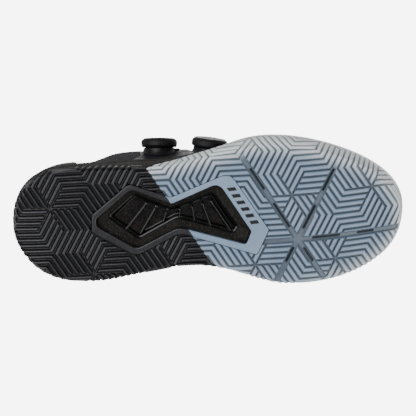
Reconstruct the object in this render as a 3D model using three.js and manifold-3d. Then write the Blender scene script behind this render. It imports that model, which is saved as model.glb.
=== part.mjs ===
// Right-foot court shoe with two lace-winding dials. Millimetres.
// +X points to the toe, +Y to the medial (inner) side, +Z up. The tread's lowest plane is z = 0.
import * as THREE from "three";
import { mergeVertices } from "three/addons/utils/BufferGeometryUtils.js";
import Module from "manifold-3d";

const wasm = await Module();
wasm.setup();

// ---------------------------------------------------------------- driving dimensions
const GAP = 0.3; // clearance between touching pieces
const RUBBER = 4.5; // outsole thickness, tread included
const RUBBER_WALL = 1.4; // thickness of the rubber that wraps up the midsole's side
const CUP_RIM = 6; // how far the midsole's side rises above its footbed
const RIM_WALL = 3.5; // from the upper's foot to the sole's side at the rim
const UPPER_SKIN = 2.4; // thickness of the textile upper
const TOE_SPRING = 24; // lift of the tread at the toe tip
const HEEL_LIFT = 4; // lift of the tread at the heel tip
const GROUND_FRONT = 50; // the tread touches the ground between these two stations
const GROUND_BACK = -112;
const HEEL_TIP = -149.8;
const TOE_TIP = 149.8;
const TOE_TIP_Y = -4; // the toe tip lies a little lateral of the heel's centre line
const THICK_BLUE = 0x9fb4c9;
const BLACK = 0x1b1b1e;

// ---------------------------------------------------------------- small maths
const clamp = (v, low, high) => Math.min(Math.max(v, low), high);
const mix = (a, b, t) => a + (b - a) * t;
const smooth = (low, high, v) => {
  const t = clamp((v - low) / (high - low), 0, 1);
  return t * t * (3 - 2 * t);
};

// A smooth function through [x, value] pairs.
function profile(points) {
  const last = points.length - 1;
  const slope = (i) => {
    const a = points[Math.max(i - 1, 0)];
    const b = points[Math.min(i + 1, last)];
    return (b[1] - a[1]) / (b[0] - a[0]);
  };
  return (x) => {
    if (x <= points[0][0]) return points[0][1];
    if (x >= points[last][0]) return points[last][1];
    const i = points.findIndex((p) => p[0] > x) - 1;
    const [x0, y0] = points[i];
    const [x1, y1] = points[i + 1];
    const span = x1 - x0;
    const t = (x - x0) / span;
    const h = (1 - t) * (1 - t);
    return (
      (1 + 2 * t) * h * y0 + t * h * span * slope(i) +
      t * t * (3 - 2 * t) * y1 + t * t * (t - 1) * span * slope(i + 1)
    );
  };
}

// ---------------------------------------------------------------- solids
function solidOf(geometry) {
  const bare = geometry.index ? geometry.toNonIndexed() : geometry.clone();
  bare.deleteAttribute("normal");
  bare.deleteAttribute("uv");
  const merged = mergeVertices(bare, 1e-4);
  return new wasm.Manifold(
    new wasm.Mesh({
      numProp: 3,
      vertProperties: new Float32Array(merged.attributes.position.array),
      triVerts: new Uint32Array(merged.index.array),
    }),
  );
}

function geometryOf(solid) {
  const mesh = solid.getMesh();
  const geometry = new THREE.BufferGeometry();
  geometry.setAttribute("position", new THREE.BufferAttribute(mesh.vertProperties, 3));
  geometry.setIndex(new THREE.BufferAttribute(mesh.triVerts, 1));
  geometry.computeVertexNormals();
  return geometry;
}

// The largest body of a solid, which drops the slivers that cuts can leave.
function mainBody(solid) {
  return solid.decompose().reduce((a, b) => (b.volume() > a.volume() ? b : a));
}

// A closed solid through rings of points that all have the same count, capped at both ends.
function loft(rings) {
  const count = rings[0].length;
  const points = rings.flat();
  const index = [];
  for (let i = 0; i + 1 < rings.length; i++) {
    for (let k = 0; k < count; k++) {
      const a = i * count + k;
      const b = i * count + ((k + 1) % count);
      index.push(a, b, a + count, b, b + count, a + count);
    }
  }
  const fan = (ring, flip) => {
    const middle = new THREE.Vector3();
    rings[ring].forEach((p) => middle.addScaledVector(p, 1 / count));
    const centre = points.push(middle) - 1;
    for (let k = 0; k < count; k++) {
      const a = ring * count + k;
      const b = ring * count + ((k + 1) % count);
      index.push(centre, flip ? b : a, flip ? a : b);
    }
  };
  fan(0, true);
  fan(rings.length - 1, false);
  const geometry = new THREE.BufferGeometry().setFromPoints(points);
  geometry.setIndex(index);
  const solid = solidOf(geometry);
  if (solid.volume() > 0) return solid;
  for (let i = 0; i < index.length; i += 3) [index[i + 1], index[i + 2]] = [index[i + 2], index[i + 1]];
  geometry.setIndex(index);
  return solidOf(geometry);
}

// A prism on a flat outline of [a, b] pairs. plane "xy" runs it along z, and "xz" along y.
function prism(outline, low, high, plane = "xy") {
  const shape = new THREE.Shape(outline.map(([a, b]) => new THREE.Vector2(a, b)));
  const geometry = new THREE.ExtrudeGeometry(shape, { depth: high - low, bevelEnabled: false });
  if (plane === "xz") {
    geometry.rotateX(Math.PI / 2); // the shape's y becomes z, and its depth runs along -y
    geometry.translate(0, high, 0);
  } else {
    geometry.translate(0, 0, low);
  }
  return solidOf(geometry);
}

// An outline whose corners [x, y, radius] are rounded, as [x, y] pairs.
function rounded(corners, steps = 4) {
  const count = corners.length;
  return corners.flatMap(([x, y, radius], i) => {
    const here = new THREE.Vector2(x, y);
    const toward = (j) => {
      const [ox, oy] = corners[(j + count) % count];
      const way = new THREE.Vector2(ox, oy).sub(here);
      return { length: way.length(), way: way.normalize() };
    };
    const before = toward(i - 1);
    const after = toward(i + 1);
    const half = before.way.angleTo(after.way) / 2;
    const cut = Math.min(radius / Math.tan(half), before.length * 0.45, after.length * 0.45);
    const from = here.clone().addScaledVector(before.way, cut);
    const to = here.clone().addScaledVector(after.way, cut);
    return new THREE.QuadraticBezierCurve(from, here, to).getPoints(steps).map((p) => [p.x, p.y]);
  });
}

function cylinder(lowRadius, highRadius, low, high, sides = 32) {
  const geometry = new THREE.CylinderGeometry(highRadius, lowRadius, high - low, sides);
  geometry.rotateX(Math.PI / 2);
  geometry.translate(0, 0, (low + high) / 2);
  return solidOf(geometry);
}

// ---------------------------------------------------------------- the sole's shape
// Plan outline at the tread: y of the medial and lateral edges, rounded off at heel and toe.
// The toe end follows (1 - u^a)^(1/b), with [a, b] in toe, and the heel end likewise.
const SOLE_EDGE = {
  medial: {
    edge: profile([
      [-101, 45], [-86, 45.2], [-74, 43.6], [-55, 39.6], [-37, 36.2], [-18, 33],
      [0, 33], [19, 36.4], [37, 42.2], [55, 46.4], [70, 46.8],
    ]),
    toeFrom: 70,
    toe: [1.9, 2.4],
  },
  lateral: {
    heel: [2.3, 2.3],
    edge: profile([
      [-101, -44.2], [-79, -45.3], [-56, -45.5], [-43, -45.8], [-32, -46.8], [-23, -48.4], [-10, -51.5],
      [1, -54.3], [11, -56.7], [20, -59], [31, -61.6], [43, -63.2], [54, -63.2],
    ]),
    toeFrom: 54,
    toe: [1.6, 2.1],
  },
};
// Plan outline of the upper where it meets the footbed.
const UPPER_EDGE = {
  medial: {
    edge: profile([[-101, 40], [-74, 38.5], [-37, 33.5], [0, 31.5], [38, 38], [56, 41], [70, 41.5]]),
    toeFrom: 70,
    toe: [2, 2],
  },
  lateral: {
    edge: profile([
      [-101, -38.4], [-80, -39.8], [-56, -41.8], [-36, -43], [-25, -44.4], [-15.6, -46.4], [-6, -49],
      [4, -51.5], [24, -55], [54, -57.5],
    ]),
    toeFrom: 54,
    toe: [1.7, 2.1],
  },
};
const UPPER_INSET = 4; // how far the upper's toe and heel tips lie inside the sole's
const HEEL_ROUND_FROM = -101;

const edgeY = (edges, side, x, grow, inset = 0) => {
  const out = side === "medial" ? grow : -grow;
  const { edge, toeFrom, toe, heel = [2, 2] } = edges[side];
  const round = (u, [a, b]) => Math.max(1 - u ** a, 0) ** (1 / b);
  if (x < HEEL_ROUND_FROM) {
    const reach = HEEL_ROUND_FROM - HEEL_TIP - inset + grow;
    return (edge(x) + out) * round((HEEL_ROUND_FROM - x) / reach, heel);
  }
  if (x > toeFrom) {
    const reach = TOE_TIP - toeFrom - inset + grow;
    return TOE_TIP_Y + (edge(x) + out - TOE_TIP_Y) * round((x - toeFrom) / reach, toe);
  }
  return edge(x) + out;
};

// Height of the tread's underside, and of the footbed that the upper stands on.
const treadZ = (x) => {
  const toe = clamp((x - GROUND_FRONT) / (TOE_TIP - GROUND_FRONT), 0, 1.1);
  const heel = clamp((GROUND_BACK - x) / (GROUND_BACK - HEEL_TIP), 0, 1.1);
  return TOE_SPRING * toe ** 2 + HEEL_LIFT * heel ** 2;
};
const foamThickness = profile([[-149, 25], [-90, 24], [-30, 21], [30, 17], [80, 13.5], [148, 9]]);
const footbedZ = (x) => treadZ(x) + RUBBER + foamThickness(x);

// The side wall bulges out above the tread, then leans in to the upper's foot.
const BULGE_HEIGHT = 14;
const FOLD_FROM = 16;
const FOLD_TO = 27;
const BULGE_TIPS = 1.5;
const bulgeOf = {
  medial: profile([[-149, 1.5], [-80, 1.5], [0, 1.5], [80, 2], [148, 2]]),
  lateral: profile([
    [-149, 1.5], [-90, 0.8], [-56, 0.8], [-32, 1.6], [-10, 2.3], [11, 3.2], [31, 4.4], [55, 4.8], [80, 4.6],
    [120, 3.4], [148, 2.7],
  ]),
};

// Stations from heel to toe, closest together at the rounded tips.
const spread = (count) => Array.from(
  { length: count + 1 },
  (_, i) => (1 - Math.cos((Math.PI * i) / count)) / 2,
);

const SOLE_STATIONS = 24;
const WALL_LEVELS = 4;
const TIP = 0.25; // where the first and last stations lie, short of the very tips
// The sole's outline grown by grow, between two heights: low(x), and high(x, side).
function soleSolid(grow, low, high, count = SOLE_STATIONS) {
  const inset = UPPER_INSET - RIM_WALL - grow;
  const rings = spread(count).map((t) => {
    const x = mix(HEEL_TIP - grow + TIP, TOE_TIP + grow - TIP, t);
    const rimX = mix(HEEL_TIP + inset + TIP, TOE_TIP - inset - TIP, t);
    const wall = (side) =>
      Array.from({ length: WALL_LEVELS + 1 }, (_, k) => {
        const z = mix(low(x), high(x, side), k / WALL_LEVELS);
        const height = z - treadZ(x);
        const bulge = Math.sin((Math.PI / 2) * clamp(height / BULGE_HEIGHT, 0, 1));
        const fold = smooth(FOLD_FROM, FOLD_TO, height);
        const out = side === "medial" ? 1 : -1;
        const wallY = edgeY(SOLE_EDGE, side, x, grow) + out * bulgeOf[side](x) * bulge;
        const wallX = x * (1 + (BULGE_TIPS / TOE_TIP) * bulge);
        const rimY = edgeY(UPPER_EDGE, side, rimX, RIM_WALL + grow, UPPER_INSET);
        return new THREE.Vector3(mix(wallX, rimX, fold), mix(wallY, rimY, fold), z);
      });
    return [...wall("lateral"), ...wall("medial").reverse()];
  });
  return loft(rings);
}

// ---------------------------------------------------------------- the upper's shape
const dorsalZ = profile([
  [-150, 134], [-70, 132], [-45, 126], [-20, 116], [0, 106], [20, 96], [40, 86.5], [62, 77],
  [85, 69], [105, 63.5], [125, 59], [148, 55],
]);
const ridgeY = profile([[-149, 0], [-70, 0], [-20, 0.5], [20, 1], [60, -1], [148, -5]]);
const squareness = profile([[-149, 3], [-60, 2.7], [0, 2.3], [50, 2.3], [90, 2.5], [148, 2.6]]);
// How much each side draws in half way up, as a share of the half width.
const drawIn = {
  lateral: profile([
    [-149, 0.3], [-98, 0.27], [-86, 0.12], [-74, 0], [-60, -0.02], [-37, 0.01], [-18, 0.01], [2, 0.17],
    [30, 0.12], [80, 0],
  ]),
  medial: profile([[-149, 0.3], [-98, 0.3], [-80, 0.2], [-60, 0.06], [-30, 0], [80, 0]]),
};
// The heel's back in side view: how far it leans forward at each height.
const heelLean = profile([[30, 0], [52, -2.2], [82, 3.5], [102, 1], [134, -2]]);
const TOE_BOX_FROM = 96; // ahead of this the toe box rounds down to the sole
const TOE_BOX_POWER = 2.6;

function upperPoint(x, angle, grow, base = footbedZ(x)) {
  const left = edgeY(UPPER_EDGE, "lateral", x, grow, UPPER_INSET);
  const right = edgeY(UPPER_EDGE, "medial", x, grow, UPPER_INSET);
  const toe = clamp((x - TOE_BOX_FROM) / (TOE_TIP - UPPER_INSET + grow - TOE_BOX_FROM), 0, 1);
  const round = (1 - toe ** TOE_BOX_POWER) ** (1 / TOE_BOX_POWER);
  const height = (dorsalZ(x) + grow - base) * Math.max(round, 0.05);
  const power = 2 / squareness(x);
  const across = Math.sign(Math.cos(angle)) * Math.abs(Math.cos(angle)) ** power;
  const up = Math.max(Math.sin(angle), 0) ** power;
  const middle = mix((left + right) / 2, ridgeY(x), up * up);
  const z = base + height * up;
  const behind = smooth(-60, -140, x);
  const draw = 1 - drawIn[across > 0 ? "lateral" : "medial"](x) * smooth(0.1, 0.5, up);
  return new THREE.Vector3(x + heelLean(z) * behind, middle - ((right - left) / 2) * across * draw, z);
}

const UPPER_STATIONS = 22;
const UPPER_ARC = 15;
// The upper's outer form grown by grow, with its foot reaching drop below the footbed.
function upperSolid(grow, drop = 0) {
  const low = HEEL_TIP + UPPER_INSET - grow + TIP;
  const high = TOE_TIP - UPPER_INSET + grow - TIP;
  const rings = spread(UPPER_STATIONS).map((t) => {
    const x = mix(low, high, t);
    const angles = Array.from({ length: UPPER_ARC + 1 }, (_, k) => (Math.PI * k) / UPPER_ARC);
    const arc = angles.map((angle) => upperPoint(x, angle, grow));
    if (drop === 0) return arc;
    const foot = (p) => new THREE.Vector3(p.x, p.y, p.z - drop);
    return [foot(arc[0]), ...arc, foot(arc[UPPER_ARC])];
  });
  return loft(rings);
}

// The collar's top line in side view, from the heel to the top of the eyestay.
const COLLAR_LINE = [
  [-160, 104], [-146, 103], [-132, 93], [-112, 79], [-84, 71], [-60, 77], [-43, 96], [-34, 118],
];
const collarCurve = new THREE.SplineCurve(COLLAR_LINE.map(([x, z]) => new THREE.Vector2(x, z)));
// Everything above the collar's top line, moved down by lower.
const collarCut = (lower) => {
  const line = collarCurve.getPoints(18).map((p) => [p.x, p.y - lower]);
  return prism([...line, [-34, 150], [-160, 150]], -90, 90, "xz");
};

// Plan view of the throat that the tongue fills, grown by grow.
const throatHalf = profile([[-70, 22], [-20, 17.5], [20, 15], [50, 12]]);
function throat(grow, back, low = 45) {
  const front = 62 + grow;
  const xs = [back, -45, -20, 5, 30, 50];
  const side = (sign) => xs.map((x) => [x, ridgeY(x) + sign * (throatHalf(x) + grow)]);
  const noseHalf = 7 + grow * 0.6;
  const nose = [
    [front - 3, ridgeY(58) + noseHalf],
    [front, ridgeY(60)],
    [front - 3, ridgeY(58) - noseHalf],
  ];
  return prism([...side(1), ...nose, ...side(-1).reverse()], low, 160);
}

// ---------------------------------------------------------------- tread window and flex grooves
// Corners [x, y, radius] of the midfoot window in the rubber.
const WINDOW = [
  [-86, -4.8, 4], [-86, 1, 4], [-55, 19.2, 8], [-22.5, 1.8, 12], [30, 15.8, 3], [33.8, 5.2, 2],
  [8.5, -33.5, 8], [-28, -16.8, 6], [-59.5, -28.3, 6],
];
// The pocket in the midsole's floor that holds the shank.
const POCKET = [
  [-78, -4, 3], [-53, 14.5, 5], [-22.5, -3, 9], [21, 9.5, 3], [24, 4, 2], [4, -25, 5],
  [-28, -11.5, 6], [-57, -23.5, 5],
];
const POCKET_DEPTH = 12;
const WINDOW_DEPTH = 5.5;

// The line that parts the black heel rubber from the forefoot rubber, in plan.
const PARTING_X = -20.5; // where it crosses y = 0 in plan
const PARTING_SLOPE = Math.tan(THREE.MathUtils.degToRad(57)); // dy/dx
const partingX = (y) => PARTING_X + (y + 7) / PARTING_SLOPE;

const FLEX_CENTRE = [70.5, 12.3];
const FLEX_TURN = -4; // degrees: the tread lattice is turned a little towards the lateral side
const FLEX_WIDTH = 3.2;
const FLEX_DEPTH = 2.4;
// Each arm's direction in degrees, its length, and its through slots as [start, end].
const FLEX_ARMS = [
  { turn: 0, length: 82, slots: [[12, 32], [47, 58.5]] },
  { turn: -60, length: 72, slots: [[10, 29], [43, 61]] },
  { turn: -120, length: 90, slots: [[12, 34], [48, 67]] },
  { turn: 60, length: 38, slots: [[9, 21]] },
  { turn: 120, length: 38, slots: [[8, 19.5]] },
  { turn: 180, length: 27, slots: [] },
];
const SLOT_WIDTH = 1.1;

function armBox(turn, from, to, width, low, high) {
  const geometry = new THREE.BoxGeometry(to - from, width, high - low);
  geometry.translate((from + to) / 2, 0, (low + high) / 2);
  geometry.rotateZ(THREE.MathUtils.degToRad(turn + FLEX_TURN));
  geometry.translate(FLEX_CENTRE[0], FLEX_CENTRE[1], 0);
  return solidOf(geometry);
}

// ---------------------------------------------------------------- scene graph
const shoe = new THREE.Group();
const finish = (color, roughness, metalness = 0) =>
  new THREE.MeshStandardMaterial({ color, roughness, metalness });
const FINISH = {
  heelRubber: finish(0x1a1a1c, 0.6),
  clearRubber: finish(THICK_BLUE, 0.35),
  foam: finish(0x2a2a28, 0.85),
  shank: finish(0x121214, 0.3),
  amber: finish(0x3a1d10, 0.25),
  board: finish(0x8c8678, 0.9),
  textile: finish(BLACK, 0.95),
  film: finish(0x151518, 0.45),
  lining: finish(0x222226, 0.95),
  knob: finish(0x18181b, 0.4),
  grip: finish(0x202024, 0.7),
  metal: finish(0x8a8d92, 0.3, 0.9),
  cable: finish(0x0f0f11, 0.35),
};

function add(name, solid, material, parent = shoe) {
  const mesh = new THREE.Mesh(geometryOf(mainBody(solid)), material);
  mesh.name = name;
  parent.add(mesh);
  return mesh;
}

// ---------------------------------------------------------------- sole unit
const wrapHeight = {
  medial: profile([[-40, 7], [0, 8], [60, 11], [100, 14], [148, 19]]),
  lateral: profile([[-45, 6], [-32, 8], [-10, 10.5], [1, 12], [11, 14], [25, 17], [60, 19], [148, 19]]),
};
const rubberTop = (x, side) => treadZ(x) + Math.min(wrapHeight[side](x), RUBBER + foamThickness(x) + 3);
const heelRubberTop = (x, side) => treadZ(x) + (side === "medial" ? 6 : 6.5);
const FOAM_GROW = -RUBBER_WALL - GAP; // the midsole's outline against the sole's
const rimZ = (x) => footbedZ(x) + CUP_RIM;
const aboveRubber = soleSolid(-RUBBER_WALL, (x) => treadZ(x) + RUBBER, rimZ);
const partingPlan = (shift, toHeel) => {
  const far = toHeel ? -180 : 180;
  const line = [90, -90].map((y) => [partingX(y) + shift, y]);
  return prism([...line, [far, -90], [far, 90]], -10, 80);
};
const windowHole = prism(rounded(WINDOW), -10, 60);

function outsoleHeel() {
  return soleSolid(0, treadZ, heelRubberTop)
    .subtract(aboveRubber)
    .intersect(partingPlan(-GAP, true))
    .subtract(windowHole);
}

function outsoleForefoot() {
  let arms = null;
  let slots = null;
  for (const { turn, length, slots: cuts } of FLEX_ARMS) {
    const arm = armBox(turn, 0, length, FLEX_WIDTH, -10, 60);
    arms = arms ? arms.add(arm) : arm;
    for (const [from, to] of cuts) {
      const slot = armBox(turn, from, to, SLOT_WIDTH, -10, 60);
      slots = slots ? slots.add(slot) : slot;
    }
  }
  const skin = soleSolid(10, (x) => treadZ(x) - 2, (x) => treadZ(x) + FLEX_DEPTH);
  return soleSolid(0, treadZ, rubberTop)
    .subtract(aboveRubber)
    .intersect(partingPlan(GAP, false))
    .subtract(windowHole)
    .subtract(arms.intersect(skin))
    .subtract(slots);
}

const midsoleBase = (x) => treadZ(x) + RUBBER + GAP;
const pocketHole = prism(rounded(POCKET), -10, RUBBER + POCKET_DEPTH);

function midsole() {
  const window = prism(rounded(WINDOW), -10, RUBBER + WINDOW_DEPTH);
  return soleSolid(FOAM_GROW, midsoleBase, rimZ)
    .subtract(upperSolid(GAP, GAP))
    .subtract(window)
    .subtract(pocketHole);
}

// A torsion plate with ribs across the pocket, and the thin insert that shows between them.
const SHANK_Z = RUBBER + WINDOW_DEPTH - 3;
const RIBS = [
  [[-51, -21.5], [-66, 4.5]], [[-40, -17.5], [-53, 12.5]], [[-31.5, -12.8], [-36, 3.5]],
  [[-14, -17], [-11, 0]], [[-6, -20.5], [2, 3.5]], [[1.5, -23], [13, 6.5]],
];
const RIB_WIDTH = 2.2;
function rib([[x0, y0], [x1, y1]]) {
  const length = Math.hypot(x1 - x0, y1 - y0);
  const geometry = new THREE.BoxGeometry(length, RIB_WIDTH, POCKET_DEPTH - 3 - GAP);
  geometry.rotateZ(Math.atan2(y1 - y0, x1 - x0));
  geometry.translate((x0 + x1) / 2, (y0 + y1) / 2, 0);
  geometry.translate(0, 0, RUBBER + 3 + (POCKET_DEPTH - 3 - GAP) / 2);
  return solidOf(geometry);
}
// The corners of an outline moved inward by a distance.
function inset(corners, by) {
  const turn = THREE.ShapeUtils.area(corners.map(([x, y]) => ({ x, y }))) > 0 ? 1 : -1;
  const inward = (from, to) => {
    const way = new THREE.Vector2(to[0] - from[0], to[1] - from[1]).normalize();
    return new THREE.Vector2(-way.y, way.x).multiplyScalar(turn);
  };
  return corners.map((here, i) => {
    const before = inward(corners[(i + corners.length - 1) % corners.length], here);
    const after = inward(here, corners[(i + 1) % corners.length]);
    const shift = before.clone().add(after).multiplyScalar(by / (1 + before.dot(after)));
    return [here[0] + shift.x, here[1] + shift.y, here[2]];
  });
}
function shankPlate() {
  const outside = prism(rounded(inset(POCKET, GAP)), SHANK_Z, RUBBER + POCKET_DEPTH - GAP);
  const hollow = prism(rounded(inset(POCKET, GAP + 2)), SHANK_Z - 1, RUBBER + POCKET_DEPTH - 2.5);
  const trimmed = RIBS.map(rib).reduce((a, b) => a.add(b));
  return outside.subtract(hollow).add(trimmed.intersect(outside));
}

function strobelBoard() {
  return upperSolid(-UPPER_SKIN - GAP, 3).intersect(
    soleSolid(0, (x) => footbedZ(x) + GAP, (x) => footbedZ(x) + 1.8),
  );
}
function sockliner() {
  return upperSolid(-UPPER_SKIN - 2 * GAP, 3).intersect(
    soleSolid(0, (x) => footbedZ(x) + 2.1, (x) => footbedZ(x) + 6.2),
  );
}

add("outsole_heel", outsoleHeel(), FINISH.heelRubber);
add("outsole_forefoot", outsoleForefoot(), FINISH.clearRubber);
add("midsole", midsole(), FINISH.foam);
add("shank_plate", shankPlate(), FINISH.shank);
add("strobel_board", strobelBoard(), FINISH.board);
add("sockliner", sockliner(), FINISH.lining);


// ---------------------------------------------------------------- upper
const layer = (outer, inner) => upperSolid(outer).subtract(upperSolid(inner, 4));
const skinShell = layer(0, -UPPER_SKIN).subtract(collarCut(0)).subtract(throat(0, -60));
const sideView = (outline, side) =>
  prism(outline, side === "medial" ? 8 : -90, side === "medial" ? 90 : -8, "xz");
const wrapView = (outline) => prism(outline, -90, 90, "xz");

const COUNTER_VIEW = [[-165, 43], [-125, 40], [-88, 38], [-82, 48], [-92, 66], [-165, 72]];
const LINING_VIEW = [[-165, 56], [-95, 56], [-60, 50], [-26, 70], [-26, 150], [-165, 150]];
const LINING = 7.5; // thickness of the padded collar lining

function heelCounter() {
  return layer(-UPPER_SKIN - 3 * GAP, -UPPER_SKIN - 2.5).intersect(wrapView(COUNTER_VIEW));
}
function collarLining() {
  const counterRoom = layer(-UPPER_SKIN, -UPPER_SKIN - 2.6 - GAP).intersect(
    wrapView([[-165, 42], [-87, 37], [-81, 48], [-91, 67], [-165, 72.5]]),
  );
  return layer(-UPPER_SKIN - 3 * GAP, -UPPER_SKIN - LINING)
    .intersect(wrapView(LINING_VIEW))
    .subtract(collarCut(-2.5))
    .subtract(throat(6, -74))
    .subtract(counterRoom);
}

const TONGUE = 6; // thickness of the padded tongue
const TONGUE_TIP = [[-200, 20], [-40, 88], [-74, 180], [-200, 180]]; // cut along the tongue's tip, side view
function tongue() {
  return layer(-UPPER_SKIN - 3 * GAP, -UPPER_SKIN - TONGUE)
    .intersect(throat(5, -66, 50))
    .subtract(wrapView(TONGUE_TIP));
}

// Film overlays on the textile, as side-view outlines.
const FILM = 0.9;
const cupRoom = soleSolid(3, (x) => treadZ(x) - 5, (x) => rimZ(x) + GAP);
const film = layer(GAP + FILM, GAP).subtract(collarCut(0)).subtract(throat(1.5, -60)).subtract(cupRoom);
const TOE_VIEW = [[96, 20], [104, 52], [112, 90], [170, 90], [170, 20]];
const HEEL_VIEW = [[-165, 30], [-98, 30], [-104, 48], [-128, 66], [-165, 70]];
const EYESTAY_VIEW = [
  [-48, 80], [-34, 84], [-22, 88], [-4, 76], [18, 66], [40, 58], [56, 56], [66, 60], [66, 100],
  [-34, 150], [-44, 104],
];
const SADDLE_LATERAL = [
  [-62, 30], [-52, 52], [-54, 68], [-48, 79], [-34, 83], [-22, 87], [-4, 75], [14, 66.6], [22, 48], [36, 30],
];
const SADDLE_MEDIAL = [[-50, 30], [-30, 52], [-14, 66], [-4, 75], [10, 68.4], [20, 50], [34, 30]];

// A webbing loop that stands over the back of the collar, in side view.
const TAB_WIDTH = 12;
const PULL_TAB = [
  [-143.6, 84], [-146.4, 102], [-145, 111], [-141, 114], [-135.5, 111.5], [-132, 104], [-130.5, 94],
  [-131.8, 94], [-133.4, 103.6], [-136.4, 110.2], [-141, 112.5], [-143.8, 110.2], [-145.1, 102], [-142.4, 84],
];

add("upper_shell", skinShell, FINISH.textile);
add("heel_counter", heelCounter(), FINISH.board);
add("collar_lining", collarLining(), FINISH.lining);
add("tongue", tongue(), FINISH.lining);
add("toe_cap", film.intersect(wrapView(TOE_VIEW)), FINISH.film);
add("heel_overlay", film.intersect(wrapView(HEEL_VIEW)), FINISH.film);
add("eyestay_lateral", film.intersect(sideView(EYESTAY_VIEW, "lateral")), FINISH.film);
add("eyestay_medial", film.intersect(sideView(EYESTAY_VIEW, "medial")), FINISH.film);

add("saddle_medial", film.intersect(sideView(SADDLE_MEDIAL, "medial")), FINISH.film);
const collarRoom = layer(GAP, -UPPER_SKIN - LINING - GAP).subtract(collarCut(-2.8));
const pullTab = prism(PULL_TAB, -TAB_WIDTH / 2, TAB_WIDTH / 2, "xz").subtract(collarRoom);
add("pull_tab", pullTab, FINISH.textile);

// ---------------------------------------------------------------- where things sit on the upper
const SEAT = FILM + 2 * GAP; // hardware stands this far off the textile
const seatSolid = upperSolid(SEAT);

// The angle round the upper's section where a rising measure reaches a target.
function angleWhere(measure, target, low, high) {
  let [a, b] = [low, high];
  for (let i = 0; i < 30; i++) {
    const middle = (a + b) / 2;
    if (measure(middle) < target) a = middle;
    else b = middle;
  }
  return a;
}
const angleAtHeight = (x, z) => angleWhere((a) => upperPoint(x, a, SEAT).z, z, 0, Math.PI / 2);
// The angle of a point that lies a distance out from the throat's edge.
const angleAtEyestay = (x, side, out) => {
  const y = ridgeY(x) + (side === "medial" ? 1 : -1) * (throatHalf(x) + out);
  return angleWhere((a) => upperPoint(x, a, SEAT).y, y, 0, Math.PI);
};

function tube(points, radius, steps, sides = 6) {
  const circle = Array.from({ length: sides }, (_, k) => {
    const angle = (2 * Math.PI * k) / sides;
    return new THREE.Vector2(radius * Math.cos(angle), radius * Math.sin(angle));
  });
  const extrudePath = new THREE.CatmullRomCurve3(points, false, "centripetal");
  const section = new THREE.Shape(circle);
  return solidOf(new THREE.ExtrudeGeometry(section, { steps, extrudePath, bevelEnabled: false }));
}

// ---------------------------------------------------------------- dials
// In a dial's own frame z runs out along its axis from the seat, x to the toe, and y up the shoe's side.
const DIALS = {
  rear: { x: -38.2, z: 68, lift: 0, axis: new THREE.Vector3(0, -Math.cos(0.262), Math.sin(0.262)) },
  front: { x: 0.6, z: 55, lift: 1.1, axis: new THREE.Vector3(0.12, -0.98, 0.15).normalize() },
};
const KNOB_RADIUS = 13.5;
const KNOB_LOW = 4.1;
const KNOB_TOP = 10.9;
const BASE_RADIUS = 12.3;
const BASE_TOP = 3.6;
const WELL_RADIUS = 9; // the spool's well in the base
const SPOOL_RADIUS = 8.6;
const POST_RADIUS = 2.4;
const SCREW_RADIUS = 0.95;
const DISC_RADIUS = 10.6;
const TEETH = 12;
const GRIPS = 15;
const PORT_X = 6.6; // the cable's two ports, each side of the axis
const CABLE_Z = 2.2;
const CABLE_RADIUS = 0.55;
const CHANNEL_RADIUS = 1.3;
const CABLE_STEPS = 96;
const PORT_RADIUS = 1.05;

function dialFrame({ x, z, lift, axis }) {
  const seat = upperPoint(x, angleAtHeight(x, z), SEAT).addScaledVector(axis, lift);
  const across = new THREE.Vector3(1, 0, 0).addScaledVector(axis, -axis.x).normalize();
  const up = new THREE.Vector3().crossVectors(axis, across);
  return new THREE.Matrix4().makeBasis(across, up, axis).setPosition(seat);
}

function lathe(points, sides = 20) {
  const geometry = new THREE.LatheGeometry(points.map(([r, z]) => new THREE.Vector2(r, z)), sides);
  geometry.rotateX(Math.PI / 2);
  const solid = solidOf(geometry);
  if (solid.volume() > 0) return solid;
  const index = geometry.index.array;
  for (let i = 0; i < index.length; i += 3) [index[i + 1], index[i + 2]] = [index[i + 2], index[i + 1]];
  return solidOf(geometry);
}

// A ring outline whose radius swings between two values, as straight teeth.
const toothed = (count, low, high, lowZ, highZ) =>
  prism(
    Array.from({ length: count * 4 }, (_, k) => {
      const radius = k % 4 < 2 ? high : low;
      const angle = (2 * Math.PI * (k + (k % 2 ? -0.2 : 0.2))) / (count * 4);
      return [radius * Math.cos(angle), radius * Math.sin(angle)];
    }),
    lowZ,
    highZ,
  );

const ports = (base) =>
  [-PORT_X, PORT_X].reduce(
    (rest, x) =>
      rest.subtract(
        tube([new THREE.Vector3(x, 4, CABLE_Z), new THREE.Vector3(x, 20, CABLE_Z - 0.6)], PORT_RADIUS, 1, 6),
      ),
    base,
  );

function dialBase() {
  const tab = new THREE.BoxGeometry(6, 5, 2.2);
  tab.translate(BASE_RADIUS + 0.4, 0, 1.7);
  const body = cylinder(BASE_RADIUS, BASE_RADIUS - 0.5, -7, BASE_TOP, 24)
    .add(solidOf(tab))
    .subtract(cylinder(WELL_RADIUS, WELL_RADIUS, 0.7, 10, 24))
    .add(cylinder(POST_RADIUS, POST_RADIUS, 0.2, 6.1, 12))
    .subtract(cylinder(SCREW_RADIUS + GAP, SCREW_RADIUS + GAP, 1.5, 10, 10));
  return ports(body);
}
const dialSpool = () =>
  lathe([
    [POST_RADIUS + GAP, 1], [SPOOL_RADIUS, 1], [SPOOL_RADIUS, 1.4], [5, 1.6], [5, 2.8],
    [SPOOL_RADIUS, 3], [SPOOL_RADIUS, 3.4], [POST_RADIUS + GAP, 3.4], [POST_RADIUS + GAP, 1],
  ], 18).subtract(cylinder(0.7, 0.7, 0, 6, 6).translate([6.9, 0, 0]));
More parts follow.
